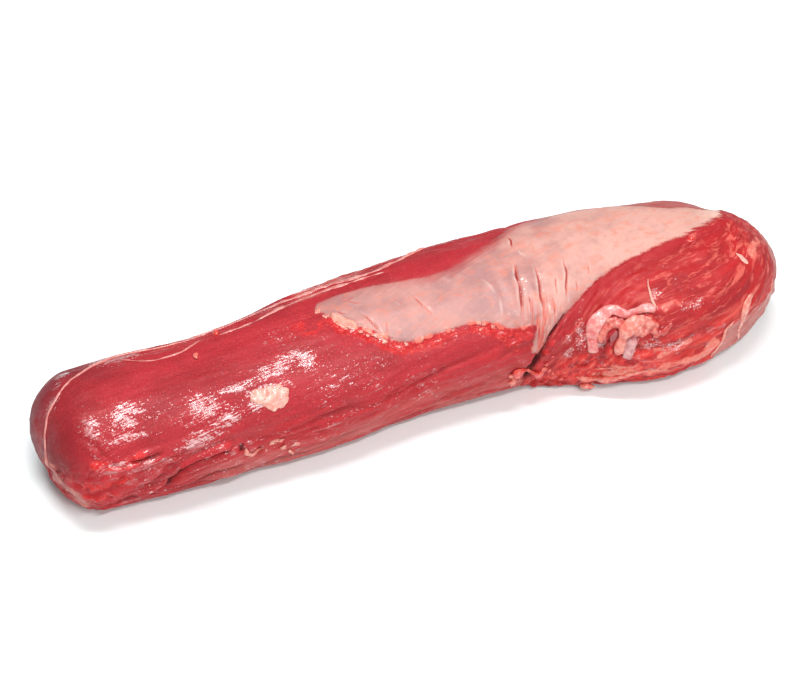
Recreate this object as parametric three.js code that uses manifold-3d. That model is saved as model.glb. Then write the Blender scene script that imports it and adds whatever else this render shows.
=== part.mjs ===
// Raw beef tenderloin: one piece of meat, lying on its flat underside.
// Millimetres, +Z up, +X from the tail end to the head end, -Y towards the front.
// Angles round a muscle are in degrees: 0 is the front, 90 the top and 180 the back.
import * as THREE from "three";
import { mergeVertices } from "three/addons/utils/BufferGeometryUtils.js";
import Module from "manifold-3d";

const sectionPower = 2.35; // 2 is an ellipse, more is squarer
const sag = 6; // how far the soft underside is pressed flat by its own weight
const flankHeight = 0.47; // where a section is widest, as a share of its height
const capRings = 6;
const tubeSides = 8;
const tubeStep = 6;

// Sections give the place along the fillet, the centre line, half the width and the height.
const longMuscle = {
  sides: 42,
  ringStep: 6.5,
  capStart: 26,
  capEnd: 44,
  sections: [
    { x: -200, y: 0, half: 33, top: 62 },
    { x: -160, y: -2, half: 35, top: 63 },
    { x: -100, y: -1, half: 37, top: 65 },
    { x: -40, y: 6, half: 43, top: 67 },
    { x: 20, y: 12, half: 44, top: 70 },
    { x: 80, y: 12, half: 44, top: 70 },
    { x: 130, y: 13, half: 39, top: 68 },
    { x: 175, y: 12, half: 34, top: 64 },
    { x: 212, y: 10, half: 26, top: 58 },
  ],
};

// The muscle along the far flank, whose round end shows past the long muscle's at the tail.
const flankMuscle = {
  sides: 28,
  ringStep: 8,
  capStart: 26,
  capEnd: 60,
  sections: [
    { x: -202, y: 13, half: 26, top: 58 },
    { x: -150, y: 13, half: 28, top: 59 },
    { x: -90, y: 14, half: 27, top: 59 },
    { x: -30, y: 26, half: 28, top: 60 },
    { x: 40, y: 31, half: 26, top: 56 },
    { x: 100, y: 32, half: 22, top: 50 },
  ],
};

// The side muscle of the head, which wraps round the front of the long muscle's end.
const sideMuscle = {
  sides: 32,
  ringStep: 6.5,
  capStart: 22,
  capEnd: 36,
  sections: [
    { x: 61, y: -18, half: 7, top: 20 },
    { x: 85, y: -17, half: 15, top: 40 },
    { x: 110, y: -18, half: 25, top: 56 },
    { x: 140, y: -17, half: 34, top: 64 },
    { x: 175, y: -8, half: 38, top: 66 },
    { x: 222, y: -1, half: 34, top: 62 },
  ],
};

// The second head, behind the long muscle's end.
const rearHead = {
  sides: 20,
  ringStep: 7,
  capStart: 26,
  capEnd: 26,
  sections: [
    { x: 130, y: 28, half: 20, top: 51 },
    { x: 162, y: 30, half: 20, top: 56 },
    { x: 200, y: 24, half: 19, top: 50 },
  ],
};

// Long low pieces fused to a muscle: [place, angle] along each, then its size across and
// through, and how deep its middle lies under the muscle's surface.
const strands = [
  // the pale cord of sinew in the seam round the tail end
  { on: longMuscle, width: 4.5, thick: 4.4, sink: 0.9,
    path: [[-111, 127], [-143, 138], [-173, 128], [-188, 109], [-194, 80], [-195, 48],
      [-190, 11], [-181, -19]] },
  // bundles of fibre along the lower front, by the tail
  { on: longMuscle, width: 16, thick: 10, sink: 2.2,
    path: [[-186, 14], [-165, 21], [-140, 25], [-110, 19]] },
  { on: longMuscle, width: 15, thick: 12, sink: 2.6,
    path: [[-186, -8], [-155, -2], [-130, 4], [-106, 2]] },
  { on: longMuscle, width: 12, thick: 10, sink: 2.4,
    path: [[-178, -27], [-137, -24], [-100, -21], [-66, -25], [-44, -31]] },
  // strips of the trimmed chain along the far top edge
  { on: longMuscle, width: 9, thick: 6, sink: 1.2,
    path: [[-161, 133], [-116, 122], [-77, 126], [-38, 127], [0, 118], [26, 116]] },
  { on: longMuscle, width: 7, thick: 5, sink: 1,
    path: [[-131, 118], [-88, 124], [-55, 114], [-16, 113]] },
  // the fatty rim where the silverskin stops
  { on: longMuscle, width: 5, thick: 3.6, sink: 0.9,
    path: [[-38, 95], [-24, 73], [-7, 53], [10, 48], [43, 45], [59, 38], [66, 26]] },
  // the fleck of fat on the front
  { on: longMuscle, width: 14, thick: 5, sink: 0.8,
    path: [[-92, 53], [-82, 47], [-72, 42]] },
  // two ribbons of fat and a lump on the side muscle
  { on: sideMuscle, width: 6, thick: 6, sink: 0.6,
    path: [[96, 27], [96, 42], [99, 60], [109, 68], [117, 58], [124, 56], [133, 51]] },
  { on: sideMuscle, width: 5.5, thick: 6, sink: 0.6,
    path: [[106, 15], [110, 32], [118, 50], [128, 46], [131, 34], [134, 25], [141, 36]] },
  { on: sideMuscle, width: 9, thick: 9, sink: 1,
    path: [[116, 36], [122, 37], [128, 37]] },
  // the edge of the membrane folded over the head's round end
  { on: sideMuscle, width: 5, thick: 4.4, sink: 0.9,
    path: [[209, 41], [204, 23], [195, 20], [189, 5], [185, -17]] },
];

// Narrow grooves cut into a muscle, in the same terms.
const grooves = [
  // creases across the silverskin
  { on: longMuscle, width: 2.6, thick: 4.4, sink: 0, path: [[68, 81], [65, 67], [63, 56], [60, 43]] },
  { on: longMuscle, width: 2.6, thick: 4.4, sink: 0, path: [[78, 80], [75, 67], [74, 54], [73, 39]] },
  { on: longMuscle, width: 2.4, thick: 4, sink: 0, path: [[96, 80], [92, 65], [89, 54], [89, 44]] },
  { on: longMuscle, width: 2, thick: 3.4, sink: 0, path: [[85, 64], [82, 53], [81, 44]] },
  // the notch and the fissure between the front bundles
  { on: longMuscle, width: 4, thick: 16, sink: -2, path: [[-102, 16], [-103, 3], [-104, -14]] },
  // the bottom of the cleft beside the side muscle
  { on: longMuscle, width: 6, thick: 16, sink: 0, path: [[66, -16], [71, -3], [78, 18], [87, 35]] },
  // seams between the fibres along the back
  { on: flankMuscle, width: 4, thick: 6, sink: 0, path: [[-150, 176], [-60, 184], [30, 172]] },
  { on: longMuscle, width: 4, thick: 5, sink: 0, path: [[20, 150], [80, 158], [128, 150]] },
];

// The frayed tag of meat at the foot of the cleft: its centre line.
const tag = {
  width: 9,
  thick: 8,
  line: [[78, -29, 20], [66, -33, 21], [58, -34, 25], [53, -34, 29]],
};

const wasm = await Module();
wasm.setup();

// A section's values at a place between the given sections, joined by a smooth curve.
function sectionAt(sections, x) {
  const last = sections.length - 2;
  let i = 0;
  while (i < last && x > sections[i + 1].x) i++;
  const before = sections[Math.max(i - 1, 0)];
  const a = sections[i];
  const b = sections[i + 1];
  const after = sections[Math.min(i + 2, sections.length - 1)];
  const t = (x - a.x) / (b.x - a.x);
  const blend = (key) => {
    const slopeA = ((b[key] - before[key]) / (b.x - before.x)) * (b.x - a.x);
    const slopeB = ((after[key] - a[key]) / (after.x - a.x)) * (b.x - a.x);
    const t2 = t * t;
    const t3 = t2 * t;
    return (2 * t3 - 3 * t2 + 1) * a[key] + (t3 - 2 * t2 + t) * slopeA
      + (3 * t2 - 2 * t3) * b[key] + (t3 - t2) * slopeB;
  };
  return { y: blend("y"), half: blend("half"), top: blend("top") };
}

// Places of the rings: even along the body, and closer together towards each round end.
function ringPlaces({ sections, capStart, capEnd, ringStep }) {
  const first = sections[0].x;
  const end = sections[sections.length - 1].x;
  const inset = (i) => 1 - Math.cos((i / capRings) * Math.PI / 2);
  const places = [];
  for (let i = 1; i < capRings; i++) places.push(first + capStart * inset(i));
  const bodyStart = first + capStart;
  const bodyLength = end - capEnd - bodyStart;
  const count = Math.max(1, Math.round(bodyLength / ringStep));
  for (let i = 0; i <= count; i++) places.push(bodyStart + (i / count) * bodyLength);
  for (let i = capRings - 1; i > 0; i--) places.push(end - capEnd * inset(i));
  return places;
}

function roundedEnd(distance, capLength) {
  if (distance >= capLength) return 1;
  const t = 1 - distance / capLength;
  return Math.sqrt(Math.max(0, 1 - t * t));
}

function pointOn(muscle, x, degrees) {
  const { sections, capStart, capEnd } = muscle;
  const { y, half, top } = sectionAt(sections, x);
  const end = sections[sections.length - 1].x;
  const shrink = roundedEnd(x - sections[0].x, capStart) * roundedEnd(end - x, capEnd);
  const angle = THREE.MathUtils.degToRad(degrees);
  const across = Math.cos(angle);
  const up = Math.sin(angle);
  const reach = (Math.abs(across) ** sectionPower + Math.abs(up) ** sectionPower)
    ** (-1 / sectionPower);
  const centre = top * flankHeight;
  const rise = up > 0 ? top - centre : centre + sag;
  return new THREE.Vector3(
    x,
    y - half * shrink * reach * across,
    centre + rise * shrink * reach * up,
  );
}

// A closed surface through rings of points, with a tip at each end.
function skinOver(tipStart, rings, tipEnd) {
  const sides = rings[0].length;
  const points = [tipStart, ...rings.flat(), tipEnd];
  const at = (ring, i) => 1 + ring * sides + (i % sides);
  const lastRing = rings.length - 1;
  const faces = [];
  for (let i = 0; i < sides; i++) {
    faces.push(0, at(0, i), at(0, i + 1));
    for (let ring = 0; ring < lastRing; ring++) {
      faces.push(at(ring, i), at(ring + 1, i), at(ring, i + 1));
      faces.push(at(ring, i + 1), at(ring + 1, i), at(ring + 1, i + 1));
    }
    faces.push(at(lastRing, i), points.length - 1, at(lastRing, i + 1));
  }
  const geometry = new THREE.BufferGeometry().setFromPoints(points);
  geometry.setIndex(faces);
  return geometry;
}

function muscleGeometry(muscle) {
  const { sections, sides } = muscle;
  const tip = ({ x, y, top }) => new THREE.Vector3(x, y, top * flankHeight);
  const rings = ringPlaces(muscle).map((x) => (
    Array.from({ length: sides }, (_, i) => pointOn(muscle, x, (i / sides) * 360))
  ));
  return skinOver(tip(sections[0]), rings, tip(sections[sections.length - 1]));
}

function outwardAt(muscle, x, degrees) {
  const step = 0.5;
  const along = pointOn(muscle, x + step, degrees).sub(pointOn(muscle, x - step, degrees));
  const round = pointOn(muscle, x, degrees + step).sub(pointOn(muscle, x, degrees - step));
  return along.cross(round).normalize();
}

// A tube of oval section along a line of points, with rounded ends.
function tubeGeometry(line, outwards, width, thick) {
  const curve = new THREE.CatmullRomCurve3(line);
  const length = curve.getLength();
  const count = Math.max(8, Math.round(length / tubeStep));
  const rings = [];
  for (let i = 1; i < count; i++) {
    const t = i / count;
    const centre = curve.getPoint(t);
    const out = outwards(t);
    const side = curve.getTangent(t).cross(out).normalize();
    const size = roundedEnd(t * length, width) * roundedEnd((1 - t) * length, width);
    rings.push(Array.from({ length: tubeSides }, (_, k) => {
      const angle = (k / tubeSides) * 2 * Math.PI;
      return centre.clone()
        .addScaledVector(side, Math.cos(angle) * size * width / 2)
        .addScaledVector(out, Math.sin(angle) * size * thick / 2);
    }));
  }
  return skinOver(curve.getPoint(0), rings, curve.getPoint(1));
}

function strandGeometry({ on, path, width, thick, sink }) {
  const flat = new THREE.CatmullRomCurve3(path.map(([x, degrees]) => new THREE.Vector3(x, degrees, 0)));
  const steps = 3 * path.length;
  const line = flat.getPoints(steps).map(({ x, y: degrees }) => (
    pointOn(on, x, degrees).addScaledVector(outwardAt(on, x, degrees), -sink)
  ));
  const outwards = (t) => {
    const { x, y: degrees } = flat.getPoint(t);
    return outwardAt(on, x, degrees);
  };
  return tubeGeometry(line, outwards, width, thick);
}

function tagGeometry({ line, width, thick }) {
  const up = new THREE.Vector3(0, 0, 1);
  return tubeGeometry(line.map((p) => new THREE.Vector3(...p)), () => up, width, thick);
}

function solidFrom(geometry) {
  const bare = geometry.clone();
  bare.deleteAttribute("normal");
  bare.deleteAttribute("uv");
  const merged = mergeVertices(bare, 1e-4);
  return new wasm.Manifold(new wasm.Mesh({
    numProp: 3,
    vertProperties: merged.attributes.position.array,
    triVerts: new Uint32Array(merged.index.array),
  }));
}

function geometryFrom(solid) {
  const mesh = solid.getMesh();
  const geometry = new THREE.BufferGeometry();
  geometry.setAttribute("position", new THREE.BufferAttribute(mesh.vertProperties, 3));
  geometry.setIndex(new THREE.BufferAttribute(mesh.triVerts, 1));
  geometry.computeVertexNormals();
  return geometry;
}

function floorBlock() {
  const depth = 60;
  const block = new THREE.BoxGeometry(600, 300, depth);
  block.translate(0, 0, -depth / 2);
  return block;
}

let meat = solidFrom(muscleGeometry(longMuscle));
for (const muscle of [flankMuscle, sideMuscle, rearHead]) {
  meat = meat.add(solidFrom(muscleGeometry(muscle)));
}
for (const strand of strands) meat = meat.add(solidFrom(strandGeometry(strand)));
for (const groove of grooves) meat = meat.subtract(solidFrom(strandGeometry(groove)));
meat = meat.add(solidFrom(tagGeometry(tag)));
meat = meat.subtract(solidFrom(floorBlock()));

// The origin is the middle of the underside.
const shape = geometryFrom(meat);
shape.computeBoundingBox();
const middle = shape.boundingBox.getCenter(new THREE.Vector3());
shape.translate(-middle.x, -middle.y, 0);

const rawMeat = new THREE.MeshStandardMaterial({ color: 0xb03040, roughness: 0.35, metalness: 0 });
const tenderloin = new THREE.Mesh(shape, rawMeat);
tenderloin.name = "tenderloin";

const group = new THREE.Group();
group.add(tenderloin);
export default group;
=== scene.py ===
# Raw beef tenderloin: one trimmed fillet lying on a pale table.
import math
import bpy
import numpy as np
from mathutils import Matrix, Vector
from mathutils.bvhtree import BVHTree


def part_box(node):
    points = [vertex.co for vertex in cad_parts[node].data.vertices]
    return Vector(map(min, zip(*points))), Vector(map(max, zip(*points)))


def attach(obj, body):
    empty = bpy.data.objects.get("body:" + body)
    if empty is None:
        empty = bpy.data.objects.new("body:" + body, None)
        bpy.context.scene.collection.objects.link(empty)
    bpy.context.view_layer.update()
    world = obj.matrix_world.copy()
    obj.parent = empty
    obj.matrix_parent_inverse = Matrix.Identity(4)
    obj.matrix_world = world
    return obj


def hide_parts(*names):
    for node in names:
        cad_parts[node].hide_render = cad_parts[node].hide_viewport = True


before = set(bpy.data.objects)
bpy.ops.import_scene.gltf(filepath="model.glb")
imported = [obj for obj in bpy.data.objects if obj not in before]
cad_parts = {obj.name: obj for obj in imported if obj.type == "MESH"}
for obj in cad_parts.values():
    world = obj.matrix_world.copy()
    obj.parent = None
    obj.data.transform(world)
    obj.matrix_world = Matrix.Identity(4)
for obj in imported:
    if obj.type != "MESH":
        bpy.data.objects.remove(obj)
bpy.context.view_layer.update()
scene = bpy.context.scene
scene.view_settings.view_transform = "Standard"
mm = 0.001
print("frame loaded")

# The muscles, in their own millimetres: place along, middle, half width and height of each section.
muscles = {
    "long": {"capStart": 26, "capEnd": 44, "sections": [
        (-200, 0, 33, 62), (-160, -2, 35, 63), (-100, -1, 37, 65), (-40, 6, 43, 67), (20, 12, 44, 70),
        (80, 12, 44, 70), (130, 13, 39, 68), (175, 12, 34, 64), (212, 10, 26, 58)]},
    "flank": {"capStart": 26, "capEnd": 60, "sections": [
        (-202, 13, 26, 58), (-150, 13, 28, 59), (-90, 14, 27, 59), (-30, 26, 28, 60), (40, 31, 26, 56),
        (100, 32, 22, 50)]},
    "side": {"capStart": 22, "capEnd": 36, "sections": [
        (61, -18, 7, 20), (85, -17, 15, 40), (110, -18, 25, 56), (140, -17, 34, 64), (175, -8, 38, 66),
        (222, -1, 34, 62)]},
    "rear": {"capStart": 26, "capEnd": 26, "sections": [
        (130, 28, 20, 51), (162, 30, 20, 56), (200, 24, 19, 50)]},
}
muscleForm = {"power": 2.35, "sag": 6, "flankHeight": 0.47, "farEdge": 57, "headEnd": 222}
# how softly muscles meet, how round the pressed edge is, and how their skins are felt for
skinForm = {"seam": 1.0, "floorRound": 2.2, "probe": 0.4, "flattest": 0.004, "thinnest": 0.3, "farthest": 6}

# The part's origin is the middle of its underside; the muscles keep their own.
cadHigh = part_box("tenderloin")[1]
muscleOrigin = np.array([muscleForm["headEnd"] - cadHigh.x / mm, muscleForm["farEdge"] - cadHigh.y / mm, 0])


def toScene(points):
    return (np.asarray(points, float) - muscleOrigin) * mm


def toMuscle(points):
    return np.asarray(points, float) / mm + muscleOrigin


def sectionsAt(muscle, x):
    table = np.array(muscle["sections"], float)
    last = len(table) - 1
    x = np.clip(x, table[0, 0], table[last, 0])
    i = np.clip(np.searchsorted(table[:, 0], x, side="right") - 1, 0, last - 1)
    before, a, b, after = (table[np.clip(i + step, 0, last)] for step in (-1, 0, 1, 2))
    span = (b[:, 0] - a[:, 0])[:, None]
    slopeA = (b - before) / (b[:, 0] - before[:, 0])[:, None] * span
    slopeB = (after - a) / (after[:, 0] - a[:, 0])[:, None] * span
    t = ((x - a[:, 0]) / span[:, 0])[:, None]
    t2, t3 = t * t, t * t * t
    blend = (2 * t3 - 3 * t2 + 1) * a + (t3 - 2 * t2 + t) * slopeA + (3 * t2 - 2 * t3) * b + (t3 - t2) * slopeB
    return blend[:, 1], blend[:, 2], blend[:, 3]


def capsAt(muscle, x):    # how far into each round end
    start, end = muscle["sections"][0][0], muscle["sections"][-1][0]
    return 1 - (x - start) / muscle["capStart"], 1 - (end - x) / muscle["capEnd"]


def pointsOn(name, x, degrees):    # places on a muscle's skin: 0 is the front, 90 the top
    x, angle = np.asarray(x, float), np.radians(np.asarray(degrees, float))
    middle, half, top = sectionsAt(muscles[name], x)
    first, last = (np.clip(cap, 0, 1) for cap in capsAt(muscles[name], x))
    shrink = np.sqrt(1 - first ** 2) * np.sqrt(1 - last ** 2)
    across, up = np.cos(angle), np.sin(angle)
    power = muscleForm["power"]
    reach = (np.abs(across) ** power + np.abs(up) ** power) ** (-1 / power) * shrink
    centre = top * muscleForm["flankHeight"]
    rise = np.where(up > 0, top - centre, centre + muscleForm["sag"])
    return np.stack([x, middle - half * reach * across, centre + rise * reach * up], 1)


def sharesOf(name, points):    # how far in front of a muscle's axis and above it, as shares of its section
    middle, half, top = sectionsAt(muscles[name], points[:, 0])
    centre = top * muscleForm["flankHeight"]
    up = points[:, 2] - centre
    return (middle - points[:, 1]) / half, up / np.where(up > 0, top - centre, centre + muscleForm["sag"])


def anglesOn(name, points):    # the angle round a muscle of any place near it, in degrees
    across, up = sharesOf(name, points)
    return np.degrees(np.arctan2(up, across))


def fillOf(name, points):    # 0 on the muscle's axis and 1 on its skin
    across, up = sharesOf(name, points)
    power = muscleForm["power"]
    roundness = (np.abs(across) ** power + np.abs(up) ** power) ** (1 / power)
    return np.sqrt(roundness ** 2 + np.maximum(np.maximum(*capsAt(muscles[name], points[:, 0])), 0) ** 2)


def skinsOf(points):    # each muscle's skin: how far a place is outside it, and which way is out
    depths, ways = [], []
    probe = skinForm["probe"]
    for name in muscles:
        fill = fillOf(name, points)
        slope = np.stack([(fillOf(name, points + probe * axis) - fill) / probe for axis in np.eye(3)], 1)
        size = np.maximum(np.linalg.norm(slope, axis=1), skinForm["flattest"])
        depths.append((fill - 1) / size)
        ways.append(slope / size[:, None])
    return np.array(depths), np.array(ways)


def surfaceAt(points, rounds=1):    # moves places onto the meat, and says which way is out
    seam, floorRound, farthest = skinForm["seam"], skinForm["floorRound"], skinForm["farthest"]
    for step in range(rounds + 1):
        depths, ways = skinsOf(points)
        weights = np.exp(-np.clip(depths - depths.min(0), 0, 40) / seam)
        depth = depths.min(0) - seam * np.log(weights.sum(0))
        way = (weights[:, :, None] * ways).sum(0) / weights.sum(0)[:, None]
        floorShare = 1 / (1 + np.exp(np.clip((depth + points[:, 2]) / floorRound, -30, 30)))
        way = way * (1 - floorShare)[:, None] + np.array([0, 0, -1]) * floorShare[:, None]
        depth = np.logaddexp(depth / floorRound, -points[:, 2] / floorRound) * floorRound
        size = np.maximum(np.linalg.norm(way, axis=1), skinForm["thinnest"])[:, None]
        if step < rounds:
            points = points - way / size * np.clip(depth, -farthest, farthest)[:, None]
    return points, way / size


noiseTables, noiseCells = {}, 32


def noiseAt(points, size, seed):    # smooth random hills from -1 to 1, a hill every size
    if seed not in noiseTables:
        noiseTables[seed] = np.random.default_rng(seed).uniform(-1, 1, (noiseCells,) * 3)
    table = noiseTables[seed]
    place = points / np.asarray(size, float)
    low = np.floor(place).astype(int)
    part = place - low
    part = part * part * (3 - 2 * part)
    total = 0
    for corner in np.ndindex(2, 2, 2):
        cell = (low + corner) % noiseCells
        weight = np.prod(np.where(corner, part, 1 - part), axis=1)
        total = total + table[cell[:, 0], cell[:, 1], cell[:, 2]] * weight
    return total


def ramp(value, low, high):    # 0 below low, 1 above high and smooth between
    t = np.clip((value - low) / (high - low), 0, 1)
    return t * t * (3 - 2 * t)


def bump(distance, width):
    return np.exp(-(distance / width) ** 2)


def endsFade(share, part=0.18):
    return ramp(np.minimum(share, 1 - share), 0, part)


def toPath(places, path):    # distance to a path on the skin or in space, share along it, and which side
    path = np.asarray(path, float)
    lengths = np.linalg.norm(np.diff(path, axis=0), axis=1)
    gone = np.concatenate([[0], np.cumsum(lengths)])
    best, share, side = np.full(len(places), 1e9), np.zeros(len(places)), np.zeros(len(places))
    for a, b, length, done in zip(path[:-1], path[1:], lengths, gone):
        t = np.clip((places - a) @ (b - a) / length ** 2, 0, 1)
        off = places - a - t[:, None] * (b - a)
        away = np.linalg.norm(off, axis=1)
        near = away < best
        turn = (b[0] - a[0]) * off[:, 1] - (b[1] - a[1]) * off[:, 0]
        share = np.where(near, (done + t * length) / gone[-1], share)
        side = np.where(near, np.sign(turn), side)
        best = np.where(near, away, best)
    return best, share, side


def clearSelection():
    if bpy.context.object and bpy.context.object.mode != "OBJECT":
        bpy.ops.object.mode_set(mode="OBJECT")
    bpy.ops.object.select_all(action="DESELECT")


def pick(*pieces):    # only these are selected, and the first is the active one
    clearSelection()
    for piece in pieces:
        piece.select_set(True)
    bpy.context.view_layer.objects.active = pieces[0]


def joinAll(pieces):
    pick(*pieces)
    bpy.ops.object.join()
    return bpy.context.object


def applyModifier(piece, kind, **settings):
    pick(piece)
    modifier = piece.modifiers.new("step", kind)
    for key, value in settings.items():
        setattr(modifier, key, value)
    bpy.ops.object.modifier_apply(modifier="step")


def readPoints(piece):
    flat = np.empty(len(piece.data.vertices) * 3)
    piece.data.vertices.foreach_get("co", flat)
    return flat.reshape(-1, 3)


def writePoints(piece, points, onTable=True):    # from the muscles' millimetres, and nothing under the table
    points = np.array(points, float)
    if onTable:
        points[:, 2] = np.maximum(points[:, 2], 0)
    piece.data.vertices.foreach_set("co", toScene(points).ravel())
    piece.data.update()


def keepValues(piece, name, values):
    values = np.asarray(values, np.float32)
    kind, key = ("FLOAT_VECTOR", "vector") if values.ndim == 2 else ("FLOAT", "value")
    piece.data.attributes.new(name, kind, "POINT").data.foreach_set(key, values.ravel())


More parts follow.
